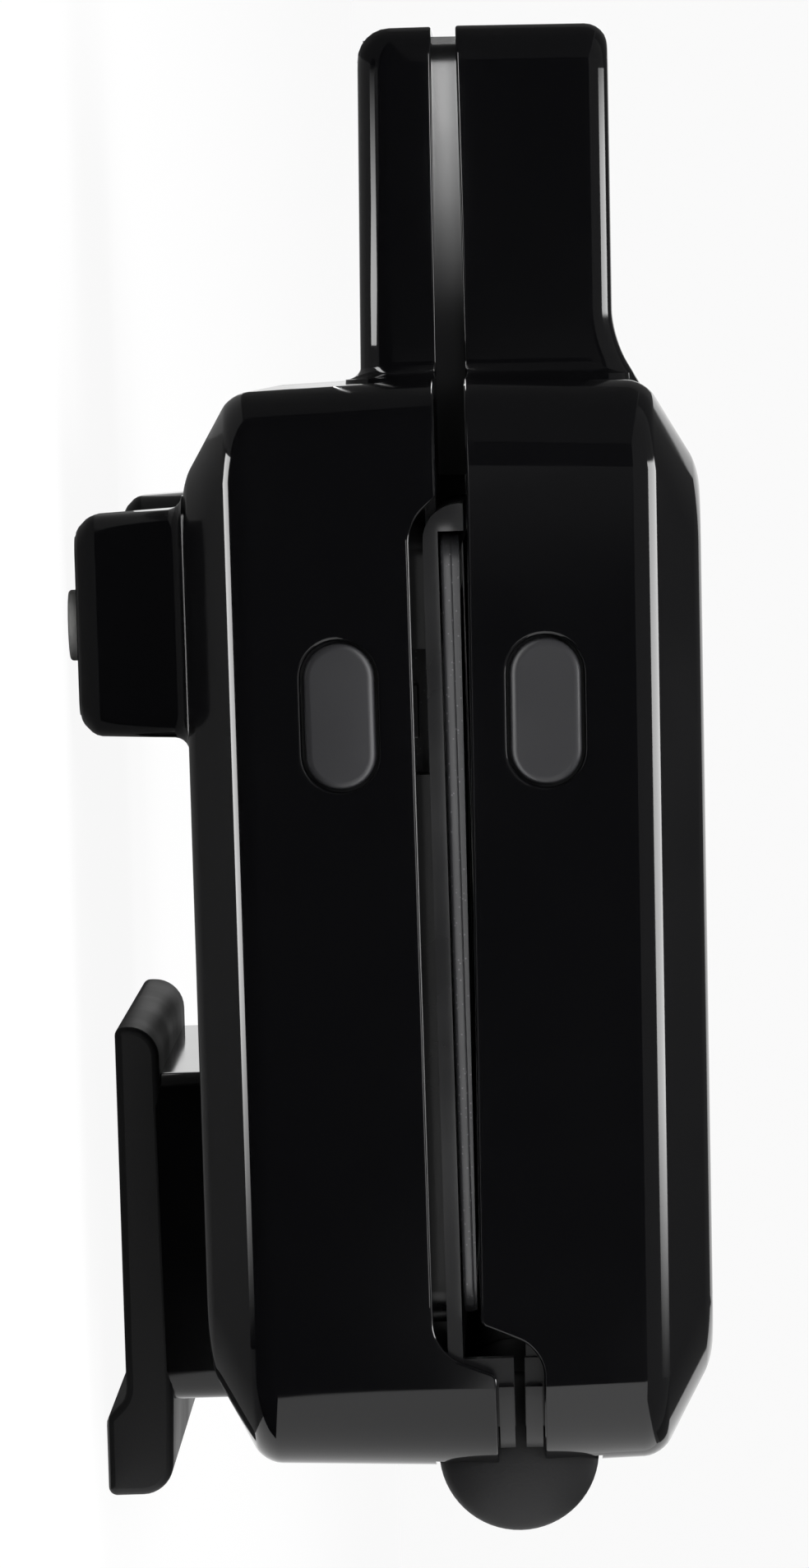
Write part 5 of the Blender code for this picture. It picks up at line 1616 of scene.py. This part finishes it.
@dataclass
class Releases:
    """The release buttons, and the plate catches that they work."""

    length: float = 0.0242
    height: float = 0.0118
    proud: float = 0.0004
    lip: float = 0.0012
    lip_thick: float = 0.0015
    face_edge: float = 0.0013
    pusher_radius: float = 0.001
    pusher_half: float = 0.004
    push_depth: float = 0.0144
    catch_x: float = 0.107
    catch_out: float = 0.002
    catch_in: float = 0.0025
    nose: float = 0.0055
    nose_depths: Span = (0.0041, 0.0061)
    pivot_depth: float = 0.0088
    tail: float = 0.0072
    catch_half: float = 0.0045
    pin_hole: float = 0.00125
    catch_edge: float = 0.0003

    def build_button(self, half: Half) -> None:
        """Builds one release button and dresses it.

        Args:
            half: The half that it belongs to.
        """
        y, z = RING.button_y, half.button_z
        face = half.wall_x(z) + self.proud
        lip_face = half.wall_x(z + half.inward * (self.height / 2 + self.lip)) - BODY.wall - SLIDE
        back = lip_face - self.lip_thick
        cap = oval(y, z, self.length, self.height, (back + SINK / 2, face))
        cap.normal_update()
        rim = [e for e in cap.edges if all(abs(v.co.x - face) < TOUCH for v in e.verts)]
        soften(cap, [e for e in rim if e.calc_face_angle() > SHARP], self.face_edge, EDGE_STEPS)
        button = Carving(cap)
        button.join(oval(y, z, self.length + 2 * self.lip, self.height + 2 * self.lip, (back, lip_face)))
        tip, mid, radius = self.catch_x + self.catch_out + CLEAR, half.at(self.push_depth), self.pusher_radius
        pusher = [
            (tip, mid - radius, radius - HAIR / 2),
            (tip, mid + radius, radius - HAIR / 2),
            (back + SINK, mid + radius),
            (back + SINK, mid - radius),
        ]
        button.join(outline(pusher, Axis.Y, (y - self.pusher_half, y + self.pusher_half)))
        publish(f"{half.name}_button_satin", button.bm, f"{half.name}_button", half.turn)

    def build_catch(self, half: Half) -> None:
        """Builds one plate catch and dresses it.

        Args:
            half: The half that it belongs to.
        """
        out, back, nose = self.catch_x + self.catch_out, self.catch_x - self.catch_in, self.catch_x - self.nose
        top, under = self.nose_depths
        tail = self.pivot_depth + self.tail
        path = [(out, tail), (out, top), (nose, top), (nose, under), (back, under), (back, tail)]
        y = RING.button_y
        span = (y - self.catch_half, y + self.catch_half)
        catch = Carving(outline([(x, half.at(depth)) for x, depth in path], Axis.Y, span))
        pin = (self.catch_x, y, half.at(self.pivot_depth))
        catch.cut(cylinder(pin, self.pin_hole, 2 * self.catch_half + PAST, Axis.Y, PIN_STEPS))
        name = f"{half.name}_catch"
        publish(f"{name}_satin", catch.bm, name, half.turn, edge=self.catch_edge)


@dataclass
class CordWrap:
    """The cord wrap: a grained flange with the rear foot, and the glossy stem that carries it."""

    half_width: float = 0.056
    front: float = 0.0715
    reach: float = 0.0102
    stem_front: float = 0.063
    stem_rear: float = 0.0059
    stem_round: float = 0.0055
    flange_low: float = 0.0036
    flange_high: float = 0.0112
    foot_length: float = 0.0135
    foot_high: float = 0.0118
    round: float = 0.0054
    sole_round: float = 0.0015
    edge: float = 0.0013
    screw_spacing: float = 0.070
    head_radius: float = 0.0033
    head_high: float = 0.0018

    @property
    def screws(self) -> list[Point]:
        """Returns where the two screws stand."""
        y = BODY.rear_y - (self.stem_front + self.stem_rear) / 2
        return [(side * self.screw_spacing / 2, y) for side in (-1, 1)]

    def build(self) -> None:
        """Builds the flange and the stem and dresses them."""
        rear = BODY.rear_y + self.reach
        stem_front, stem_rear = BODY.rear_y - self.stem_front, BODY.rear_y - self.stem_rear
        foot_front = rear - self.foot_length
        flange = [
            (BODY.rear_y - self.front, self.flange_low, self.sole_round),
            (foot_front - self.flange_low, self.flange_low),
            (foot_front, 0.0),
            (rear, 0.0, self.sole_round),
            (rear, self.flange_high, self.round),
            (stem_rear, self.foot_high),
            (stem_front, self.flange_high),
            (BODY.rear_y - self.front, self.flange_high, self.round),
        ]
        seat = self.flange_low + 2 * self.head_high
        heads = merged(
            *(cylinder((x, y, 0.0), self.head_radius, 2 * seat, Axis.Z, PIN_STEPS) for x, y in self.screws)
        )
        work = Carving(outline(flange, Axis.X, (-self.half_width, self.half_width)))
        work.cut(heads)
        publish("cord_wrap_flange", work.bm, "cord_wrap", edge=self.edge)
        half, corner = self.half_width - HAIR, self.stem_round
        ends = ((-half, stem_front), (half, stem_front), (half, stem_rear), (-half, stem_rear))
        plan = [(x, y, corner) for x, y in ends]
        stem = Carving(outline(plan, Axis.Z, (self.flange_high - SINK, BODY.panel_z + BODY.chamfer_rise)))
        stem.cut(Shells().tub(LOWER, CLEAR, PAST))
        publish("cord_wrap_stem", stem.bm, "cord_wrap", slot="gloss_black", replace=False)


@dataclass
class FootPads:
    """The rubber pads under the front feet, with a shallow ring in each."""

    radius: float = 0.006
    top: float = 0.0027
    edge: float = 0.0006
    groove: Span = (0.0028, 0.0038)
    groove_deep: float = 0.0004

    def build(self) -> None:
        """Builds the pads and dresses them."""
        near, far = self.groove
        bend = [math.pi / 2 * i / EDGE_STEPS for i in range(EDGE_STEPS + 1)]
        edge = [
            (self.radius - self.edge * (1.0 - math.cos(a)), self.edge * (1.0 - math.sin(a))) for a in bend
        ]
        profile = [
            (0.0, self.top),
            (self.radius, self.top),
            *edge,
            (far, 0.0),
            (far - self.groove_deep, self.groove_deep),
            (near + self.groove_deep, self.groove_deep),
            (near, 0.0),
            (0.0, 0.0),
        ]
        shells = Shells()
        for name, side in (("left", -1), ("right", 1)):
            place = Matrix.Translation((side * shells.foot_x, BODY.front_y + shells.foot_back, 0.0))
            publish(f"foot_pad_{name}_rubber", turned(profile, place), f"foot_pad_{name}")


@dataclass
class HingeSet:
    """The hinge barrel: three knuckles on a rod, and two domed end caps."""

    split: float = 0.058
    dome: float = 0.0035
    rod_radius: float = 0.0025
    leaf_thick: float = 0.003
    leaf_length: float = 0.0085
    leaf_inset: float = 0.004
    edge: float = 0.0004

    def build_knuckle(self, name: str, x_span: Span, half: Half) -> None:
        """Builds one knuckle with its leaf and dresses it.

        Args:
            name: The CAD node that it stands for.
            x_span: Where it starts and ends on X.
            half: The half that its leaf is fixed in.
        """
        middle = (sum(x_span) / 2, BODY.hinge_y, BODY.hinge_z)
        work = Carving(cylinder(middle, BODY.barrel_radius, x_span[1] - x_span[0], Axis.X))
        end = BODY.hinge_z + half.inward * (BODY.barrel_radius + self.leaf_length)
        low, high = sorted((BODY.hinge_z + half.inward * (BODY.barrel_radius - BODY.wall), end))
        rear = BODY.rear_y - BODY.wall - SLIDE - math.tan(BODY.draft) * abs(end - half.rim)
        corners = (x_span[0] + self.leaf_inset, rear - self.leaf_thick, low), (x_span[1] - self.leaf_inset, rear, high)
        work.join(box(*corners))
        work.cut(cylinder(middle, self.rod_radius + CLEAR, BODY.width, Axis.X, PIN_STEPS))
        publish(f"{name}_grained", work.bm, name, half.turn, edge=self.edge)

    def build(self) -> None:
        """Builds the hinge and dresses it."""
        end = BODY.barrel_half
        self.build_knuckle("hinge_knuckle_left", (-end, -self.split - CLEAR), LOWER)
        self.build_knuckle("hinge_knuckle_right", (self.split + CLEAR, end), LOWER)
        self.build_knuckle("lid_knuckle", (-self.split, self.split), UPPER)
        bend = quarter(2 * ARC_STEPS)
        dome = [(BODY.barrel_radius * math.sin(a), self.dome * math.cos(a) + CLEAR) for a in bend]
        for name, side in (("left", -1), ("right", 1)):
            turn = Matrix.Rotation(side * math.pi / 2, 4, "Y")
            place = Matrix.Translation((side * end, BODY.hinge_y, BODY.hinge_z)) @ turn
            publish(f"hinge_cap_{name}_grained", turned([*dome, (0.0, CLEAR)], place), f"hinge_cap_{name}")


@dataclass
class LatchSet:
    """The latch clip on the lid's handle tip."""

    half_width: float = 0.017
    thick: float = 0.0021
    inset: float = 0.0007
    drop: float = 0.0085
    pivot: Point = (0.0021, 0.0165)
    barrel: float = 0.0019
    pin_hole: float = 0.00115
    bead: float = 0.0008
    bead_rise: float = 0.001
    edge: float = 0.0004

    def build(self) -> None:
        """Builds the clip and dresses it."""
        front = BODY.tip_y + self.inset
        back, low = front + self.thick, BODY.lid_z - self.drop
        pivot = (0.0, BODY.tip_y + self.pivot[0], BODY.lid_z + self.pivot[1])
        half = self.half_width
        work = Carving(box((-half, front, low), (half, back, pivot[2])))
        work.join(cylinder(pivot, self.barrel, 2 * (half - HAIR), Axis.X, PIN_STEPS))
        bead = half - SINK
        rise = low + self.bead_rise
        work.join(box((-bead, back - SINK, rise), (bead, back + self.bead, rise + self.bead_rise)))
        work.cut(cylinder(pivot, self.pin_hole, 2 * half + PAST, Axis.X, PIN_STEPS))
        publish("latch_clip_satin", work.bm, "latch_clip", UPPER.turn, edge=self.edge)


@dataclass
class ScrewSet:
    """The pan-head screws, each with a cross recess."""

    radius: float = 0.0015
    head: float = 0.003
    high: float = 0.0018
    crown: float = 0.45
    frame_length: float = 0.0182
    cross: Span = (0.0018, 0.00045)
    cross_deep: float = 0.0011

    def screw(self, point: Point, inward: int, length: float) -> BMesh:
        """Makes one screw.

        Args:
            point: Where its head seats.
            inward: -1 if its shank runs down and 1 if it runs up.
            length: How long its shank is.

        Returns:
            The screw.
        """
        rim = 1.0 - self.crown
        head = [(self.head * math.sin(a), self.high * (rim + self.crown * math.cos(a))) for a in quarter()]
        profile = [*head, (self.head, 0.0), (self.radius, 0.0), (self.radius, -length), (0.0, -length)]
        work = Carving(turned(profile, Matrix(), PIN_STEPS))
        long, short = self.cross
        floor = self.high - self.cross_deep
        for a, b in ((long, short), (short, long)):
            work.cut(box((-a, -b, floor), (a, b, self.high + SINK)))
        flip = Matrix.Rotation(math.pi if inward > 0 else 0.0, 4, "X")
        work.bm.transform(Matrix.Translation(point) @ flip)
        return work.bm

    def build(self) -> None:
        """Builds all the screws and dresses them."""
        for half, prefix in ((LOWER, "base"), (UPPER, "lid")):
            for number, (x, y) in enumerate(RING.screws, 1):
                bm = self.screw((x, y, half.at(self.high)), half.inward, self.frame_length)
                publish(f"{prefix}_screw_{number}_cross", bm, f"{prefix}_screw_{number}", half.turn)
        wrap = CordWrap()
        seat = wrap.flange_low + 2 * wrap.head_high - CLEAR
        length = BODY.panel_z + BODY.wall - CLEAR - wrap.flange_low - 2 * wrap.head_high
        for name, (x, y) in zip(("left", "right"), wrap.screws):
            node = f"cord_wrap_screw_{name}"
            publish(f"{node}_cross", self.screw((x, y, seat), 1, length), node)


@dataclass
class Bushing:
    """The cord bushing in the underside."""

    x: float = -0.075
    back: float = 0.0165
    radius: float = 0.006
    bore: float = 0.0035
    flange: float = 0.0073
    low: float = 0.0025
    soft: float = 0.0006

    @property
    def place(self) -> Vector:
        """Returns where the bushing stands in the panel."""
        return Vector((self.x, BODY.mid_y + self.back, BODY.panel_z))

    def hole(self) -> BMesh:
        """Makes its hole in the panel."""
        return cylinder(self.place, self.radius + CLEAR, PAST, Axis.Z)

    def build(self) -> None:
        """Builds the bushing and dresses it."""
        top, low = BODY.wall + SINK, -self.low
        profile = [
            (self.bore, top),
            (self.radius, top),
            (self.radius, -CLEAR),
            (self.flange, -CLEAR),
            (self.flange, low + self.soft),
            (self.flange - self.soft, low),
            (self.bore + self.soft, low),
            (self.bore, low + self.soft),
            (self.bore, top),
        ]
        publish("cord_bushing_satin", turned(profile, Matrix.Translation(self.place)), "cord_bushing")


@dataclass
class LampSet:
    """The two tinted lamp lenses in the lid."""

    radius: float = 0.003
    proud: float = 0.0006
    spacing: float = 0.020
    back: float = 0.034
    drop: float = 0.0054

    @property
    def places(self) -> list[Point]:
        """Returns where the lenses stand."""
        return [(side * self.spacing / 2, BODY.front_y + self.back) for side in (-1, 1)]

    def build(self) -> None:
        """Builds the lenses and dresses them."""
        dome = [(self.radius * math.sin(a), self.proud * math.cos(a)) for a in quarter()]
        foot = CLEAR - self.drop
        profile = [*dome, (self.radius, foot), (0.0, foot)]
        for node, (x, y) in zip(("power_lamp", "ready_lamp"), self.places):
            bm = turned(profile, Matrix.Translation((x, y, BODY.top_z)), PIN_STEPS)
            publish(f"{node}_lens", bm, node, UPPER.turn)


@dataclass
class Studio:
    """The camera, the floor and backdrop, the lamps and the cards that the gloss mirrors."""

    eye: Point = (1.52, -0.0731, 0.0782)
    aim: Point = (0.120, 0.0003, 0.0563)
    lean: float = math.radians(1.8)
    lens_mm: float = 194.4
    sensor_mm: float = 36.0
    white: str = "FFFFFF"
    sheet: str = "F2F2F2"
    paper_share: float = 0.93
    world_light: float = 0.18
    room_x: Span = (-2.6, 3.0)
    room_y: Span = (-5.0, 5.0)
    backdrop_z: Span = (0.0, 1.8)
    wall_z: Span = (0.0, 0.9)
    ground: float = 0.0004
    side_x: float = 0.119
    front_x: float = 2.3
    rear_x: float = -1.19
    left_y: float = -1.4
    right_y: float = 1.6
    sky_x: Span = (-0.22, 0.35)
    glint_x: Span = (0.1225, 0.128)
    strip_light: float = 9.0
    glint_light: float = 4.0

    def camera(self) -> None:
        """Sets up the camera, rolled so that the handle points up."""
        data = bpy.data.cameras.new("camera")
        data.lens = self.lens_mm
        data.sensor_fit = "VERTICAL"
        data.sensor_height = self.sensor_mm
        obj = bpy.data.objects.new("camera", data)
        back = (Vector(self.eye) - Vector(self.aim)).normalized()
        right = Vector((0.0, -math.cos(self.lean), math.sin(self.lean))).cross(back).normalized()
        turn = Matrix((right, back.cross(right), back)).transposed().to_4x4()
        obj.matrix_world = Matrix.Translation(self.eye) @ turn
        bpy.context.scene.collection.objects.link(obj)
        bpy.context.scene.camera = obj

    def card(self, name: str, corners: Sequence[Point], material: bpy.types.Material) -> bpy.types.Object:
        """Stands a flat card in the studio.

        Args:
            name: The card's name.
            corners: Its four corners.
            material: Its material.

        Returns:
            The card.
        """
        bm = bmesh.new()
        bm.faces.new([bm.verts.new(corner) for corner in corners])
        mesh = bpy.data.meshes.new(name)
        bm.to_mesh(mesh)
        bm.free()
        mesh.materials.append(material)
        obj = bpy.data.objects.new(name, mesh)
        bpy.context.scene.collection.objects.link(obj)
        return obj

    def mirrored(self, name: str, corners: Sequence[Point], light: float, fade: Span | None = None) -> None:
        """Stands a card that shows only in the gloss.

        Args:
            name: The card's name.
            corners: Its four corners.
            light: How bright it is.
            fade: Where its light starts and ends to fade on Y.
        """
        material = bpy.data.materials.new(name)
        material.use_nodes = True
        tree = material.node_tree
        glow = add_node(tree, "ShaderNodeEmission", {"Color": linear(self.white), "Strength": light})
        if fade:
            place = add_node(tree, "ShaderNodeTexCoord").outputs["Object"]
            y = add_node(tree, "ShaderNodeSeparateXYZ", {"Vector": place}).outputs["Y"]
            ramp = {"Value": y, "From Min": fade[0], "From Max": fade[1], "To Min": light, "To Max": 0.0}
            dim = add_node(tree, "ShaderNodeMapRange", ramp, interpolation_type="SMOOTHSTEP").outputs["Result"]
            tree.links.new(dim, glow.inputs["Strength"])
        tree.links.new(glow.outputs["Emission"], tree.nodes["Material Output"].inputs["Surface"])
        obj = self.card(name, corners, material)
        obj.visible_camera = obj.visible_diffuse = obj.visible_shadow = obj.visible_transmission = False

    def paper(self) -> bpy.types.Material:
        """Makes the white paper of the floor and backdrop, which looks white to the camera and in the gloss.

        Returns:
            The material.
        """
        material = bpy.data.materials.new("studio_paper")
        material.use_nodes = True
        tree = material.node_tree
        tree.nodes.remove(tree.nodes["Principled BSDF"])
        path = add_node(tree, "ShaderNodeLightPath").outputs
        seen = add_node(
            tree, "ShaderNodeMath", {0: path["Is Camera Ray"], 1: path["Is Glossy Ray"]}, operation="MAXIMUM"
        ).outputs["Value"]
        seen = add_node(
            tree, "ShaderNodeMath", {0: seen, 1: path["Is Transmission Ray"]}, operation="MAXIMUM"
        ).outputs["Value"]
        share = add_node(tree, "ShaderNodeMath", {0: seen, 1: self.paper_share}, operation="MULTIPLY").outputs["Value"]
        sheet = add_node(tree, "ShaderNodeBsdfDiffuse", {"Color": linear(self.sheet)})
        glow = add_node(tree, "ShaderNodeEmission", {"Color": linear(self.white), "Strength": 1.0})
        mix = add_node(
            tree, "ShaderNodeMixShader", {0: share, 1: sheet.outputs["BSDF"], 2: glow.outputs["Emission"]}
        )
        tree.links.new(mix.outputs["Shader"], tree.nodes["Material Output"].inputs["Surface"])
        return material

    def lamp(self, name: str, place: Point, towards: Point, side: float, power: float) -> None:
        """Hangs a soft box that the gloss does not mirror.

        Args:
            name: The lamp's name.
            place: Where it hangs.
            towards: What it points at.
            side: The length of its sides.
            power: Its power in watts.
        """
        data = bpy.data.lights.new(name, "AREA")
        data.shape = "RECTANGLE"
        data.size = data.size_y = side
        data.energy = power
        obj = bpy.data.objects.new(name, data)
        direction = Vector(towards) - Vector(place)
        obj.matrix_world = Matrix.Translation(place) @ direction.to_track_quat("-Z", "Y").to_matrix().to_4x4()
        obj.visible_glossy = False
        bpy.context.scene.collection.objects.link(obj)

    def level(
        self, name: str, x_span: Span, y_span: Span, z: float, light: float, fade: Span | None = None
    ) -> None:
        """Lays a card at a height that shows only in the gloss."""
        (a, b), (c, d) = x_span, y_span
        self.mirrored(name, [(a, c, z), (b, c, z), (b, d, z), (a, d, z)], light, fade)

    def upright(
        self, name: str, start: Span, end: Span, z_span: Span, light: float, fade: Span | None = None
    ) -> None:
        """Stands a card between two points in plan that shows only in the gloss."""
        low, high = z_span
        self.mirrored(name, [(*start, low), (*end, low), (*end, high), (*start, high)], light, fade)

    def cards(self) -> None:
        """Sets up the dark and bright cards that shape the gloss."""
        wall, ground, side, glint = self.wall_z, self.ground, self.side_x, self.glint_x
        front, rear, left, right = self.front_x, self.rear_x, self.left_y, self.right_y
        strip, spark = self.strip_light, self.glint_light
        self.level("dark_floor", (side, front), (left, 0.205), ground, 0.0)
        self.level("dark_front", (-1.2, side), (left, -0.142), ground, 0.06)
        self.upright("dark_wall", (front, left), (front, 0.45), wall, 0.0)
        self.upright("front_glow", (2.25, -0.058), (2.25, 0.045), wall, 0.20, (-0.058, 0.045))
        self.upright("dark_end", (front, left), (-1.2, left), wall, 0.06)
        self.upright("dark_back", (rear, left), (rear, -0.25), wall, 0.10)
        self.upright("bright_wall", (front, 0.45), (front, right), wall, 1.3)
        self.upright("bright_side", (front, right), (rear, right), wall, 1.3)
        self.level("dark_over", (-1.3, -0.23), (left, -left), 0.95, 0.08)
        # Grey cards lying under the body and the handle are painted shade: in the gloss they stand for the floor shaded
        # beneath them
        self.level("painted_shade_under_body", (-0.14, side), (-0.066, 0.125), ground, 0.11)
        self.level("painted_shade_under_handle", (-0.14, side), (-0.142, -0.066), ground, 0.20)
        # Narrow bright cards close to the part draw the highlights that the photo shows along its edges
        self.level("base_strip", (0.1131, 0.1182), (-0.058, 0.095), 0.0195, strip, (0.020, 0.095))
        self.level("handle_strip", (0.059, 0.0637), (-0.128, -0.0725), 0.045, strip, (-0.085, -0.125))
        self.level("lid_strip", self.sky_x, (-0.075, 0.215), wall[1], strip, (0.13, 0.215))
        self.level("tip_strip", self.sky_x, (-0.155, -0.075), wall[1], strip, (-0.105, -0.155))
        self.upright("filler_strip", (0.075, -0.142), (0.075, -0.068), (0.0642, 0.0672), 25.0, (-0.120, -0.076))
        self.upright("rim_strip", (0.1205, -0.042), (0.1205, 0.090), (0.0632, 0.0653), 3.0)
        self.level("seam_glint", glint, (-0.040, 0.088), 0.0575, spark)
        self.level("front_glint", glint, (-0.066, -0.047), 0.0624, spark)
        low, high = (BODY.lid_z + SINK / 2 + math.tan(BODY.ajar) * (BODY.hinge_y - y) for y in (-0.066, 0.088))
        (a, b), (c, d) = glint, (-0.066, 0.088)
        self.mirrored("lid_glint", [(a, c, low), (b, c, low), (b, d, high), (a, d, high)], spark)

    def build(self) -> None:
        """Sets up the whole studio."""
        bpy.context.scene.view_settings.view_transform = "Standard"
        self.camera()
        paper = self.paper()
        (a, b), (c, d), (floor, top) = self.room_x, self.room_y, self.backdrop_z
        self.card("floor", [(a, c, floor), (b, c, floor), (b, d, floor), (a, d, floor)], paper)
        self.card("backdrop", [(a, c, floor), (a, d, floor), (a, d, top), (a, c, top)], paper)
        world = bpy.data.worlds.new("studio")
        world.use_nodes = True
        background = world.node_tree.nodes["Background"]
        background.inputs["Color"].default_value = linear(self.white)
        background.inputs["Strength"].default_value = self.world_light
        bpy.context.scene.world = world
        self.cards()
        self.lamp("key", (0.58, -0.08, 0.87), (0.05, 0.0, 0.06), 0.73, 12.0)
        self.lamp("fill", (1.7, -0.5, 0.6), (0.1, 0.0, 0.06), 0.9, 16.0)
        self.lamp("rear", (-0.7, 0.9, 0.9), (0.0, 0.0, 0.06), 0.8, 10.0)


def dress_rest() -> None:
    """Gives every CAD node that still shows the procedural material of its slot."""
    for name, obj in frame["nodes"].items():
        material = FINISHES[SLOTS[name]].material()
        for slot in obj.material_slots:
            slot.material = material


def main() -> None:
    """Builds the toaster's pieces in order, then the studio."""
    logging.basicConfig(level=logging.INFO, format="%(name)s: %(message)s")
    shells = Shells()
    shells.build_base()
    shells.build_lid()
    frames = Frames()
    frames.build_base()
    frames.build_lid()
    plates, releases = Plates(), Releases()
    for half in (LOWER, UPPER):
        plates.build(half)
        releases.build_button(half)
        releases.build_catch(half)
    for part in (CordWrap(), FootPads(), HingeSet(), LatchSet(), LampSet(), ScrewSet(), Bushing()):
        part.build()
    dress_rest()
    Studio().build()


if __name__ == "__main__":
    main()
